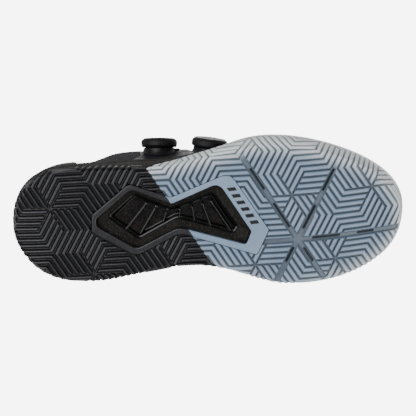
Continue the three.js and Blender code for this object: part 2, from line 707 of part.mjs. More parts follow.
const dialDisc = () =>
  toothed(TEETH, DISC_RADIUS - 1, DISC_RADIUS, 3.9, 6.1).subtract(
    cylinder(POST_RADIUS + GAP + 0.1, POST_RADIUS + GAP + 0.1, 3, 7, 12),
  );
const dialScrew = () =>
  lathe([[0, 2.1], [SCREW_RADIUS, 2.1], [SCREW_RADIUS, 6.4], [2.8, 6.4], [2.8, 7.5], [2.2, 8], [0, 8]], 12);
const dialKnob = () =>
  lathe([
    [10.95, KNOB_LOW], [12.4, KNOB_LOW], [12.4, 9.8], [11.6, 10.6], [10, KNOB_TOP], [8, KNOB_TOP],
    [8, 9.9], [0, 9.9], [0, 8.7], [3.2, 8.7], [3.2, 6.5], [10.95, 6.5], [10.95, KNOB_LOW],
  ]);
const dialGrip = () =>
  toothed(GRIPS, KNOB_RADIUS - 0.55, KNOB_RADIUS, 4.4, 9.3).subtract(cylinder(12.75, 12.75, 3, 11, 20));
const dialCap = () =>
  lathe([[0, 10.2], [7.6, 10.2], [7.6, 10.8], [7, 11.1], [5.2, 11.1], [4.9, 10.8], [0, 10.8]], 18);

const dialFrames = {};
let saddle = film.intersect(sideView(SADDLE_LATERAL, "lateral"));
for (const [place, dial] of Object.entries(DIALS)) {
  const frame = dialFrame(dial);
  dialFrames[place] = frame;
  const notch = new THREE.BoxGeometry(8, 5.6, 20);
  notch.translate(BASE_RADIUS, 0, 0);
  const drum = cylinder(BASE_RADIUS + GAP, BASE_RADIUS + GAP, -14, 8, 24);
  const hole = geometryOf(drum.add(solidOf(notch))).applyMatrix4(frame);
  saddle = saddle.subtract(solidOf(hole));
  const put = (name, solid, material, trim = (placed) => placed) => {
    const geometry = geometryOf(solid).applyMatrix4(frame);
    add(`dial_${place}_${name}`, trim(solidOf(geometry)), material);
  };
  put("base", dialBase(), FINISH.knob, (placed) => placed.subtract(upperSolid(GAP)));
  put("spool", dialSpool(), FINISH.metal);
  put("ratchet_disc", dialDisc(), FINISH.knob);
  put("screw", dialScrew(), FINISH.metal);
  put("knob", dialKnob(), FINISH.knob);
  put("grip_ring", dialGrip(), FINISH.grip);
  put("cap", dialCap(), FINISH.film);
}
add("saddle_lateral", saddle, FINISH.film);

// ---------------------------------------------------------------- lace cables and their guides
const LACE_LIFT = SEAT + 1.1; // cable centre line above the textile
const LACE_DIP = 3.2; // how much lower it runs over the tongue
const GUIDE_OUT = 7; // how far out from the throat's edge a guide's middle lies
const TURN_OUT = 7.5; // where the cable turns back inside a guide
const TURN_HALF = 3.2; // half the distance between a turn's two legs, along the shoe
const lacePoint = (x, side, out) => upperPoint(x, angleAtEyestay(x, side, out), LACE_LIFT);

// From one eyestay to the other, over the tongue.
function crossing(fromX, toX, from, to) {
  const a = angleAtEyestay(fromX, from, 2);
  const b = angleAtEyestay(toX, to, 2);
  const sag = (t) => LACE_DIP * Math.sin(Math.PI * t);
  return [0, 0.25, 0.5, 0.75, 1].map((t) => upperPoint(mix(fromX, toX, t), mix(a, b, t), LACE_LIFT - sag(t)));
}
const turn = (x, side, heading) => [
  lacePoint(x - heading * TURN_HALF, side, TURN_OUT - 2),
  lacePoint(x - heading * TURN_HALF * 0.7, side, TURN_OUT + 1),
  lacePoint(x, side, TURN_OUT + 2.2),
  lacePoint(x + heading * TURN_HALF * 0.7, side, TURN_OUT + 1),
  lacePoint(x + heading * TURN_HALF, side, TURN_OUT - 2),
];

// The cable leaves a port, runs up the side to the lateral guide at entry, zigzags back, and returns.
const LACES = {
  front: { entry: 53, turns: [["medial", 46], ["lateral", 40], ["medial", 32]], exit: 25 },
  rear: { entry: 7, turns: [["medial", 0], ["lateral", -7], ["medial", -14]], exit: -22 },
};
function port(frame, x) {
  return [[0.6, CABLE_Z], [7, CABLE_Z], [12.5, CABLE_Z], [15.5, CABLE_Z - 0.2]].map(([y, z]) =>
    new THREE.Vector3(x, y, z).applyMatrix4(frame),
  );
}
function rise(from, side, x) {
  const start = angleWhere((a) => upperPoint(from.x, a, LACE_LIFT).z, from.z, 0, Math.PI / 2);
  const end = angleAtEyestay(x, side, GUIDE_OUT);
  return [0.3, 0.55, 0.8].map((t) =>
    upperPoint(mix(from.x, x, t), mix(start, end, t), LACE_LIFT + (1 - t) * 1.2),
  );
}
function laceRoute(place) {
  const { entry, turns, exit } = LACES[place];
  const frame = dialFrames[place];
  const out = port(frame, PORT_X);
  const back = port(frame, -PORT_X);
  const path = [...out, ...rise(out[3], "lateral", entry), lacePoint(entry, "lateral", GUIDE_OUT)];
  let x = entry;
  let side = "lateral";
  for (const [nextSide, nextX] of turns) {
    const past = side === "lateral" && x === entry ? 0 : TURN_HALF;
    path.push(...crossing(x - past, nextX + TURN_HALF, side, nextSide));
    path.push(...turn(nextX, nextSide, -1));
    x = nextX;
    side = nextSide;
  }
  path.push(...crossing(x - TURN_HALF, exit, side, "lateral"), lacePoint(exit, "lateral", GUIDE_OUT));
  path.push(...rise(back[3], "lateral", exit).reverse(), ...back.reverse());
  return path;
}

// A low block that follows the upper's surface, centred out from the throat's edge.
function guideBlock(x, side, halfLength, halfWidth) {
  const angle = angleAtEyestay(x, side, GUIDE_OUT);
  const rings = [[0.4, 1], [3.3, 1], [4.3, 0.7]].map(([lift, size]) =>
    Array.from({ length: 12 }, (_, k) => {
      const around = (2 * Math.PI * (k + 0.5)) / 12;
      const bulge = Math.sign(Math.sin(around)) * Math.abs(Math.sin(around)) ** 0.7;
      const across = (bulge * halfWidth * size) / 34;
      const along = Math.sign(Math.cos(around)) * Math.abs(Math.cos(around)) ** 0.7 * halfLength * size;
      return upperPoint(x + along, angle + across, SEAT + lift - 0.4);
    }),
  );
  return loft(rings).subtract(seatSolid);
}

for (const place of ["front", "rear"]) {
  const route = laceRoute(place);
  const channel = tube(route, CHANNEL_RADIUS, CABLE_STEPS, 6);
  const { entry, turns, exit } = LACES[place];
  const guides = [
    ["entry", "lateral", entry],
    ...turns.map(([side, x], i) => [`turn${i + 1}`, side, x]),
    ["exit", "lateral", exit],
  ];
  for (const [label, side, x] of guides) {
    const passing = label === "entry" || label === "exit";
    const block = guideBlock(x, side, passing ? 4 : 6.4, 5.6);
    add(`guide_${place}_${label}`, block.subtract(channel), FINISH.film);
  }
  add(`lace_cable_${place}`, tube(route, CABLE_RADIUS, CABLE_STEPS, 5), FINISH.cable);
}

// The origin is the middle of the whole shoe's footprint.
const box = new THREE.Box3().setFromObject(shoe);
shoe.position.set(-(box.min.x + box.max.x) / 2, -(box.min.y + box.max.y) / 2, 0);
shoe.updateMatrixWorld(true);

export default shoe;
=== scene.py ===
"""Court shoe seen from under its sole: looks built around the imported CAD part."""
import math

import bmesh
import bpy
import numpy as np
from mathutils import Matrix, Vector, kdtree
from mathutils.geometry import delaunay_2d_cdt


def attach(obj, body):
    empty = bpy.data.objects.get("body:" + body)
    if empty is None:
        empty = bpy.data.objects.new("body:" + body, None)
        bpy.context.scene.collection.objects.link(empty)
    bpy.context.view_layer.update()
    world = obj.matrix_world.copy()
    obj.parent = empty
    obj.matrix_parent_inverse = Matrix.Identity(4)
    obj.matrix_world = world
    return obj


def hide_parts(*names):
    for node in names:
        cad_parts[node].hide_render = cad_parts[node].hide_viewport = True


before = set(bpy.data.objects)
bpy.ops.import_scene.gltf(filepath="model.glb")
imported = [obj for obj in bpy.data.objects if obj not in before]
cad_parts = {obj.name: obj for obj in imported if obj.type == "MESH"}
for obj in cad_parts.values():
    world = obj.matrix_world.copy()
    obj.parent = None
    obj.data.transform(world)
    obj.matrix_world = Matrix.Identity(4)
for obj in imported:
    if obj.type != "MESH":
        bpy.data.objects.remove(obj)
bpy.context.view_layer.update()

# The shoe is laid out in millimetres, with its origin half-way along the line through the heel's middle.
# This is where that origin lies in the frame.
SHIFT = np.array([-0.24382, 9.62747, 0.0])


# ---------------------------------------------------------------- small maths
def clamp(v, low, high):
    return np.minimum(np.maximum(v, low), high)


def smooth(low, high, v):
    t = clamp((np.asarray(v, float) - low) / (high - low), 0, 1)
    return t * t * (3 - 2 * t)


def mix(a, b, t):
    return a + (b - a) * t


def profile(points):
    """A smooth function through (x, value) pairs."""
    xs, ys = np.array(points, float).T
    slope = np.empty_like(ys)
    slope[1:-1] = (ys[2:] - ys[:-2]) / (xs[2:] - xs[:-2])
    slope[0] = (ys[1] - ys[0]) / (xs[1] - xs[0])
    slope[-1] = (ys[-1] - ys[-2]) / (xs[-1] - xs[-2])

    def f(x):
        x = clamp(np.asarray(x, float), xs[0], xs[-1])
        i = np.clip(np.searchsorted(xs, x, side="right") - 1, 0, len(xs) - 2)
        span = xs[i + 1] - xs[i]
        t = (x - xs[i]) / span
        h = (1 - t) ** 2
        return ((1 + 2 * t) * h * ys[i] + t * h * span * slope[i]
                + t * t * (3 - 2 * t) * ys[i + 1] + t * t * (t - 1) * span * slope[i + 1])

    return f


# ---------------------------------------------------------------- the shoe's form, in millimetres
RUBBER = 4.5  # the outsole's thickness
CUP_RIM = 6  # how far the midsole's cup stands above the footbed
RIM_WALL = 3.5  # the cup wall's thickness, outside the upper
SKIN = 2.4  # the upper's thickness
FILM = 0.9  # the films' thickness
TOE_SPRING, HEEL_LIFT = 24, 4  # how high the tread's tips stand off the ground
GROUND_FRONT, GROUND_BACK = 50, -112  # where the tread leaves the ground
HEEL_TIP, TOE_TIP, TOE_TIP_Y = -149.8, 149.8, -4.0
HEEL_ROUND_FROM = -101
UPPER_INSET = 4  # how far the upper's tips lie inside the sole's
TOE_BOX_FROM, TOE_BOX_POWER = 96, 2.6  # the rounding of the toe box in side view
DIAL_SADDLE = 2.0  # how far the textile stands out between the dials
SADDLE_X, SADDLE_Z, SADDLE_REACH, SADDLE_RISE = -17.5, 62, 7.0, 14.0

# Each edge: its distance from the middle line, where the toe's rounding starts, the toe's two powers
# and the heel's one.
SOLE_EDGE = {
    "medial": (profile([
        (-101, 45), (-86, 45.2), (-74, 43.6), (-55, 39.6), (-37, 36.2), (-18, 33),
        (0, 33), (19, 36.4), (37, 42.2), (55, 46.4), (70, 46.8)]), 70, (1.9, 2.4), 2),
    "lateral": (profile([
        (-101, -44.2), (-79, -45.3), (-56, -45.5), (-43, -45.8), (-32, -46.8), (-23, -48.4), (-10, -51.5),
        (1, -54.3), (11, -56.7), (20, -59), (31, -61.6), (43, -63.2), (54, -63.2)]), 54, (1.6, 2.1), 2.3),
}
UPPER_EDGE = {
    "medial": (profile([
        (-101, 40), (-74, 38.5), (-37, 33.5), (0, 31.5), (38, 38), (56, 41), (70, 41.5)]), 70, (2, 2), 2),
    "lateral": (profile([
        (-101, -38.4), (-80, -39.8), (-56, -41.8), (-36, -43), (-25, -44.4), (-15.6, -46.4), (-6, -49),
        (4, -51.5), (24, -55), (54, -57.5)]), 54, (1.7, 2.1), 2),
}
# How far the sole's side swells past its tread, and how high the rubber wraps up it.
BULGE = {
    "medial": profile([(-149, 1.5), (-80, 1.5), (0, 1.5), (80, 2), (148, 2)]),
    "lateral": profile([
        (-149, 1.5), (-90, 0.8), (-56, 0.8), (-32, 1.6), (-10, 2.3), (11, 3.2), (31, 4.4), (55, 4.8),
        (80, 4.6), (120, 3.4), (148, 2.7)]),
}
WRAP = {
    "medial": profile([(-40, 7), (0, 8), (60, 11), (100, 14), (148, 19)]),
    "lateral": profile([
        (-50, 0.3), (-46.5, 1), (-42, 4.5), (-35, 7.8), (-23, 10), (-10, 12), (1, 12.5), (11, 14),
        (25, 17), (60, 19), (148, 19)]),
}
foam_thickness = profile([(-149, 25), (-90, 24), (-30, 21), (30, 17), (80, 13.5), (148, 9)])
dorsal_z = profile([
    (-150, 134), (-70, 132), (-45, 126), (-20, 116), (0, 106), (20, 96), (40, 86.5), (62, 77),
    (85, 69), (105, 63.5), (125, 59), (148, 55)])
ridge_y = profile([(-149, 0), (-70, 0), (-20, 0.5), (20, 1), (60, -1), (148, -5)])
squareness = profile([(-149, 3), (-60, 2.7), (0, 2.3), (50, 2.3), (90, 2.5), (148, 2.6)])
draw_lateral = profile([
    (-149, 0.3), (-98, 0.27), (-86, 0.12), (-74, 0), (-60, -0.02), (-37, 0.01), (-18, 0.01), (2, 0.17),
    (30, 0.12), (80, 0)])
draw_medial = profile([(-149, 0.3), (-98, 0.3), (-80, 0.2), (-60, 0.06), (-30, 0), (80, 0)])
heel_lean = profile([(30, 0), (52, -2.2), (82, 3.5), (102, 1), (134, -2)])
throat_half = profile([(-70, 22), (-20, 17.5), (20, 15), (50, 12)])


def edge_y(edges, side, x, grow=0.0, inset=0.0):
    """An edge's y at x, grown outward; the tips lie inset from the shoe's."""
    x = np.asarray(x, float)
    out = grow if side == "medial" else -grow
    edge, toe_from, (a, b), h = edges[side]
    base = edge(x) + out
    heel_reach = HEEL_ROUND_FROM - HEEL_TIP - inset + grow
    u = clamp((HEEL_ROUND_FROM - x) / heel_reach, 0, 1)
    heel = base * np.maximum(1 - u ** h, 0) ** (1 / h)
    toe_reach = TOE_TIP - toe_from - inset + grow
    v = clamp((x - toe_from) / toe_reach, 0, 1)
    toe = TOE_TIP_Y + (base - TOE_TIP_Y) * np.maximum(1 - v ** a, 0) ** (1 / b)
    return np.where(x < HEEL_ROUND_FROM, heel, np.where(x > toe_from, toe, base))


def tread_z(x):
    toe = clamp((np.asarray(x, float) - GROUND_FRONT) / (TOE_TIP - GROUND_FRONT), 0, 1.1)
    heel = clamp((GROUND_BACK - np.asarray(x, float)) / (GROUND_BACK - HEEL_TIP), 0, 1.1)
    return TOE_SPRING * toe ** 2 + HEEL_LIFT * heel ** 2


def footbed_z(x):
    return tread_z(x) + RUBBER + foam_thickness(x)


def rim_height(x):
    """The sole's full side height, above its tread."""
    return RUBBER + foam_thickness(x) + CUP_RIM


def upper_point(x, angle, grow):
    """A point on the upper's form grown by grow, at an angle round its section from the lateral foot."""
    x, angle = np.broadcast_arrays(np.asarray(x, float), np.asarray(angle, float))
    left = edge_y(UPPER_EDGE, "lateral", x, grow, UPPER_INSET)
    right = edge_y(UPPER_EDGE, "medial", x, grow, UPPER_INSET)
    toe = clamp((x - TOE_BOX_FROM) / (TOE_TIP - UPPER_INSET + grow - TOE_BOX_FROM), 0, 1)
    round_ = np.maximum(1 - toe ** TOE_BOX_POWER, 0) ** (1 / TOE_BOX_POWER)
    base = footbed_z(x)
    height = (dorsal_z(x) + grow - base) * np.maximum(round_, 0.05)
    power = 2 / squareness(x)
    across = np.sign(np.cos(angle)) * np.abs(np.cos(angle)) ** power
    up = np.maximum(np.sin(angle), 0) ** power
    middle = mix((left + right) / 2, ridge_y(x), up * up)
    z = base + height * up
    behind = smooth(-60, -140, x)
    draw = 1 - np.where(across > 0, draw_lateral(x), draw_medial(x)) * smooth(0.1, 0.5, up)
    point = np.stack([x + heel_lean(z) * behind, middle - ((right - left) / 2) * across * draw, z], -1)
    along, up = (point[..., 0] - SADDLE_X) / SADDLE_REACH, (point[..., 2] - SADDLE_Z) / SADDLE_RISE
    point[..., 1] -= np.where(point[..., 1] < 0, DIAL_SADDLE * np.exp(-along ** 2 - up ** 2), 0)
    return point


# ---------------------------------------------------------------- meshes
def placed_object(name, data):
    obj = bpy.data.objects.new(name, data)
    bpy.context.scene.collection.objects.link(obj)
    return obj


def make(name, verts, faces, body="shoe"):
    """A mesh object from millimetre points; faces are an array, or a list of triangle and quad arrays."""
    verts = (np.asarray(verts, float) + SHIFT) / 1000
    mesh = bpy.data.meshes.new(name)
    groups = faces if isinstance(faces, list) else [faces]
    groups = [np.asarray(g, np.int32) for g in groups if len(g)]
    loops = np.concatenate([g.ravel() for g in groups])
    sizes = np.concatenate([np.full(len(g), g.shape[1], np.int32) for g in groups])
    mesh.vertices.add(len(verts))
    mesh.vertices.foreach_set("co", verts.astype(np.float32).ravel())
    mesh.loops.add(len(loops))
    mesh.loops.foreach_set("vertex_index", loops)
    mesh.polygons.add(len(sizes))
    mesh.polygons.foreach_set("loop_start", np.concatenate([[0], np.cumsum(sizes)[:-1]]).astype(np.int32))
    mesh.update(calc_edges=True)
    mesh.validate()
    mesh.shade_smooth()
    obj = placed_object(name, mesh)
    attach(obj, body)
    return obj


def attributes(obj, **named):
    """Stores point values for the materials; a single number goes to every point."""
    for name, values in named.items():
        layer = obj.data.attributes.new(name, "FLOAT", "POINT")
        spread = np.broadcast_to(np.asarray(values, np.float32), len(obj.data.vertices))
        layer.data.foreach_set("value", np.ascontiguousarray(spread))


def strip(rows, sides, turned_over=False):
    """Quads between neighbouring rings of points, each ring closed on itself."""
    ring = np.arange(sides)
    nxt = np.roll(ring, -1)
    quads = [np.column_stack([ring + k, nxt + k, nxt + k + sides, ring + k + sides])
             for k in sides * np.arange(rows - 1)]
    return np.vstack(quads)[:, ::-1] if turned_over else np.vstack(quads)


def used_only(verts, tris, *extras):
    """Drops the points that no triangle uses."""
    keep = np.unique(tris)
    index = np.full(len(verts), -1)
    index[keep] = np.arange(len(keep))
    return (verts[keep], index[tris]) + tuple(e[keep] for e in extras)


# ---------------------------------------------------------------- the sole's outline and side profile
def resample(points, step, closed=True):
    """A line's points anew, about step apart."""
    points = np.asarray(points, float)
    loop = np.vstack([points, points[:1]]) if closed else points
    length = np.concatenate([[0], np.cumsum(np.linalg.norm(np.diff(loop, axis=0), axis=1))])
    count = max(int(round(length[-1] / step)), 3)
    at = np.arange(count if closed else count + 1) * length[-1] / count
    return np.stack([np.interp(at, length, loop[:, k]) for k in range(loop.shape[1])], -1)


def in_space(points):
    """Plan points with a height of zero, or points in space as they are, as a list."""
    flat = points.shape[1] == 2
    return (np.column_stack([points, np.zeros(len(points))]) if flat else points).tolist()


def tree_of(points):
    """A search tree over plan points or points in space."""
    tree = kdtree.KDTree(len(points))
    for k, p in enumerate(in_space(points)):
        tree.insert(p, k)
    tree.balance()
    return tree


def found(tree, points, which):
    """For each point: the nearest stored point (0), its index (1) or its distance (2)."""
    return np.array([tree.find(p)[which] for p in in_space(points)])


def outline_of(edges, step, grow=0.0, inset=0.0, count=700):
    """A closed plan outline through both sides' edges."""
    t = (1 - np.cos(np.linspace(0, math.pi, count))) / 2
    x = mix(HEEL_TIP + inset - grow, TOE_TIP - inset + grow, t)
    sides = [np.stack([x, edge_y(edges, side, x, grow, inset)], -1) for side in ("lateral", "medial")]
    return resample(np.vstack([sides[0], sides[1][::-1][1:-1]]), step)


OUTLINE = outline_of(SOLE_EDGE, 0.5)
OUTLINE_TREE = tree_of(OUTLINE)
_tangent = np.roll(OUTLINE, -3, 0) - np.roll(OUTLINE, 3, 0)
NORMAL = np.stack([_tangent[:, 1], -_tangent[:, 0]], -1)
NORMAL /= np.linalg.norm(NORMAL, axis=1)[:, None]
COUNT = len(OUTLINE)


def by_side(table, x, y):
    """A side profile's value at outline points, blended round the tips."""
    centre = np.where(x > 0, TOE_TIP_Y, 0.0)
    w = smooth(-12, 12, y - centre)
    return mix(table["lateral"](x), table["medial"](x), w)


SIDE_BULGE = by_side(BULGE, OUTLINE[:, 0], OUTLINE[:, 1])
SIDE_WRAP = by_side(WRAP, OUTLINE[:, 0], OUTLINE[:, 1])


def rim_offset():
    """How far the sole's rim lies outside its tread outline, along the outline's normal."""
    rim = outline_of(UPPER_EDGE, 0.5, RIM_WALL, UPPER_INSET)
    nearest = found(tree_of(rim), OUTLINE, 0)[:, :2]
    out = ((nearest - OUTLINE) * NORMAL).sum(1)
    kernel = np.ones(21) / 21
    return np.convolve(np.concatenate([out[-10:], out, out[:10]]), kernel, "valid")


SIDE_RIM = rim_offset()
STEP, STEPS = 0.25, 170  # arc length between the side profile's samples, and their count
CORNER = 3.2  # radius of the tread's edge
SWELL_HEIGHT, RIM_FROM, RIM_TO = 14, 16, 27  # heights where the side's swell peaks and gives way to the rim
MATCH_HEIGHT = 6  # where the side's curve is set to lie as far out as side_out says
HEEL_WRAP = 6.4  # how high the heel's rubber reaches


def side_out(up, index=slice(None)):
    """How far the sole's side lies outside its outline at a height, without the tread's rounded edge."""
    bulge = SIDE_BULGE[index] * np.sin(math.pi / 2 * clamp(up / SWELL_HEIGHT, 0, 1))
    return mix(bulge, SIDE_RIM[index], smooth(RIM_FROM, RIM_TO, up))


def side_profiles():
    """For every outline point, the side's curve by arc length: out, up and slope angle."""
    out, up, angle = np.zeros((3, COUNT, STEPS))
    o, u = np.zeros(COUNT), np.zeros(COUNT)
    for k in range(STEPS):
        slope = (side_out(u + 0.1) - side_out(u - 0.1)) / 0.2
        wall = np.arctan2(1.0, slope)
        phi = np.minimum(k * STEP / CORNER, wall)
        out[:, k], up[:, k], angle[:, k] = o, u, phi
        o, u = o + STEP * np.cos(phi), u + STEP * np.sin(phi)
    rows, match = np.arange(COUNT), np.argmax(up > MATCH_HEIGHT, axis=1)
    out += (side_out(up[rows, match]) - out[rows, match])[:, None]
    return out, up, angle


SIDE_OUT, SIDE_UP, SIDE_ANGLE = side_profiles()
SIDE_START = -SIDE_OUT[:, 0]  # how far inside the outline the tread's edge begins to turn


def fold_up(plan, depth, fade=9.0):
    """Plan points of the unrolled rubber, sunk by depth, laid on the tread and up the side wall.
    Also gives each point's arc length up the side, and its outline index."""
    near = found(OUTLINE_TREE, plan, 1)
    n = NORMAL[near]
    d = ((plan - OUTLINE[near]) * n).sum(1)
    s = d + SIDE_START[near]
    k = clamp(s / STEP, 0, STEPS - 1.001)
    i = k.astype(int)
    f = k - i
    out = mix(SIDE_OUT[near, i], SIDE_OUT[near, i + 1], f)
    up = mix(SIDE_UP[near, i], SIDE_UP[near, i + 1], f)
    phi = mix(SIDE_ANGLE[near, i], SIDE_ANGLE[near, i + 1], f)
    on_side = s > 0
    tangent_part = (plan - OUTLINE[near]) - n * d[:, None]
    side_xy = OUTLINE[near] + tangent_part + n * out[:, None]
    xy = np.where(on_side[:, None], side_xy, plan)
    up = np.where(on_side, up, 0)
    phi = np.where(on_side, phi, 0)
    depth = depth * (1 - smooth(0.35 * fade, fade, up))
    xy = xy - n * (np.sin(phi) * depth)[:, None]
    z = tread_z(xy[:, 0]) + up + np.cos(phi) * depth
    return np.column_stack([xy, z]), s, near


# ---------------------------------------------------------------- the tread's pattern
UNIT = 20.72  # a tile's side
FINE = 48  # fine steps along a tile's side
TURN = math.radians(-3.33)
STAR = np.array([-121.4, -12.6])  # where the heel's star of ridges lies
E1 = np.array([math.cos(TURN), math.sin(TURN)])
E2 = np.array([math.cos(TURN + math.pi / 3), math.sin(TURN + math.pi / 3)])
RIDGES = 4  # ridges across a tile
# How deep the rubber is cut, by fine steps from a groove's middle.
RIDGE_DEPTH = np.array([2.3, 2.15, 1.2, 0.32, 0.08, 0.0, 0.0, 0.0, 0.0, 0.0])
HEEL_DEPTH = np.array([2.5, 2.4, 1.75, 0.75, 0.26, 0.07, 0.0, 0.0, 0.0, 0.0])


def tile_grooves():
    """One period of the tiling, 3 x 3 units: how many fine steps each point lies from a groove's middle."""
    period = 3 * FINE
    groove = np.zeros((period, period), bool)
    sides = {"A": ((1, 0), (0, 1)), "B": ((1, 0), (1, -1)), "C": ((1, -1), (0, -1))}
    runs_by_star = {"A": 0, "B": 1, "C": 1}  # which side's coordinate counts the ridges, at a star
    runs_other = {"A": 1, "B": 0, "C": 0}
    step = FINE // RIDGES
    for p in range(3):
        for q in range(3):
            if (p - q) % 3:
                continue
            for kind, (sa, sb) in sides.items():
                star = p % 3 == 0 or (p + sa[0] + sb[0]) % 3 == 0
                which = (runs_by_star if star else runs_other)[kind]
                for a in range(FINE + 1):
                    for b in range(FINE + 1):
                        if (a, b)[which] % step:
                            continue
                        i = p * FINE + sa[0] * a + sb[0] * b
                        j = q * FINE + sa[1] * a + sb[1] * b
                        groove[i % period, j % period] = True
    distance = np.where(groove, 0, len(RIDGE_DEPTH) - 1)
    for _ in range(step // 2 + 1):  # the widest ridge is one step across
        for di, dj in ((1, 0), (0, 1), (-1, 0), (0, -1), (1, -1), (-1, 1)):
            distance = np.minimum(distance, np.roll(distance, (di, dj), (0, 1)) + 1)
    return distance


TILE = tile_grooves()

FLEX_HUB = np.array([69.6, 12.0])
# Each flex groove: its direction, its length, its through slots' ends, and whether its outer end fades.
FLEX_ARMS = [
    (0, 82, [(12, 32), (47, 58.5)], False), (-60, 72, [(10, 29), (43, 61)], True),
    (-120, 90, [(12, 34), (48, 67)], True), (60, 38, [(9, 21)], False), (120, 38, [(8, 19.5)], False),
    (180, 27, [], False)]
FLEX_HALF, FLEX_DEPTH, SLOT_HALF, SLOT_DEPTH = 1.3, 2.9, 0.62, 2.2
# Corners (x, y, radius) of the rim round the window, the window and the pocket inside it.
RIM_OUTSIDE = [
    (-90, -8, 4), (-90, 6.5, 4), (-55.8, 25.6, 9), (-21.4, 7, 12), (38.5, 24.5, 3), (47.8, 3.7, 2),
    (17, -42, 9), (-28.3, -22.4, 5), (-60.8, -33.3, 6)]
WINDOW = [
    (-86, -4.8, 4), (-86, 1, 4), (-55, 19.2, 8), (-22.5, 1.8, 12), (30, 15.8, 3), (33.8, 5.2, 2),
    (8.5, -33.5, 8), (-28, -16.8, 6), (-59.5, -28.3, 6)]
POCKET = [
    (-78, -4, 3), (-53, 14.5, 5), (-22.5, -3, 9), (21, 9.5, 3), (24, 4, 2), (4, -25, 5),
    (-28, -11.5, 6), (-57, -23.5, 5)]
PARTING = 214  # the heel and forefoot rubbers part along this fine row
SKIRT = 3.6  # how far the rubbers' edges reach inward


def rounded(corners, step, inset=0.0):
    """A polygon with (x, y, radius) corners, moved inward by inset, as evenly spaced points."""
    c = np.array([p[:2] for p in corners], float)
    r = np.array([p[2] for p in corners], float)
    area = 0.5 * np.sum(c[:, 0] * np.roll(c[:, 1], -1) - np.roll(c[:, 0], -1) * c[:, 1])
    way = np.roll(c, -1, 0) - c
    way /= np.linalg.norm(way, axis=1)[:, None]
    inward = np.stack([-way[:, 1], way[:, 0]], -1) * math.copysign(1, area)
    before = np.roll(inward, 1, 0)
    c = c + (before + inward) * (inset / (1 + (before * inward).sum(1)))[:, None]
    points = []
    for i, here in enumerate(c):
        a, b = c[i - 1] - here, c[(i + 1) % len(c)] - here
        la, lb = np.linalg.norm(a), np.linalg.norm(b)
        a, b = a / la, b / lb
        half = math.acos(float(clamp(np.dot(a, b), -1, 1))) / 2
        cut = min(r[i] / math.tan(half), la * 0.45, lb * 0.45)
        for t in np.linspace(0, 1, 9):
            points.append((1 - t) ** 2 * (here + a * cut) + 2 * t * (1 - t) * here + t * t * (here + b * cut))
    return resample(points, step)


def inside(points, polygon):
    """Which points lie inside a closed polygon."""
    x, y = points[:, 0], points[:, 1]
    result = np.zeros(len(points), bool)
    a, b = polygon, np.roll(polygon, -1, 0)
    for (x0, y0), (x1, y1) in zip(a, b):
        cross = (y0 > y) != (y1 > y)
        if cross.any():
            at = x0 + (y - y0) * (x1 - x0) / ((y1 - y0) or 1e-9)
            result ^= cross & (x < at)
    return result


def snap(points, polygon, which):
    """Moves the chosen points on to the polygon."""
    if which.any():
        points[which] = polygon[found(tree_of(polygon), points[which], 1)]


def lattice():
    """The fine triangular lattice over the unrolled rubber: integer steps, and plan points."""
    i, j = np.meshgrid(np.arange(-150, 780), np.arange(-330, 330), indexing="ij")
    plan = STAR + (i[..., None] * E1 + j[..., None] * E2) * (UNIT / FINE)
    return i, j, plan


def groove_mask(plan, turn, start, end, half, feather):
    """1 in a straight groove that leaves the hub at an angle, falling to 0 over its feathered sides."""
    angle = math.radians(turn) + TURN
    way = np.array([math.cos(angle), math.sin(angle)])
    rel = plan - FLEX_HUB
    along = rel @ way
    off = np.abs(rel @ np.array([-way[1], way[0]]))
    ends = smooth(start - 1.0, start + 0.2, along) * (1 - smooth(end - 0.2, end + 1.0, along))
    return (1 - smooth(half, half + feather, off)) * ends


def groove_depths(plan, steps, heel):
    """How deep the rubber is cut at plan points, with the shares of flex groove and through slot."""
    depth = np.where(heel, HEEL_DEPTH[steps], RIDGE_DEPTH[steps])
    flex, slot = np.zeros((2, len(plan)))
    for turn, length, cuts, fades in FLEX_ARMS:
        arm = groove_mask(plan, turn, -1, length, FLEX_HALF, 1.6)
        fade = 1 - smooth(length * 0.72, length, np.hypot(*(plan - FLEX_HUB).T))
        flex = np.maximum(flex, arm * (fade if fades else 1))
        for a, b in cuts:
            slot = np.maximum(slot, groove_mask(plan, turn, a, b, SLOT_HALF, 0.35))
    depth = np.maximum(depth * (1 - smooth(0.2, 0.75, flex)), flex * FLEX_DEPTH)
    return depth + slot * SLOT_DEPTH, slot, flex


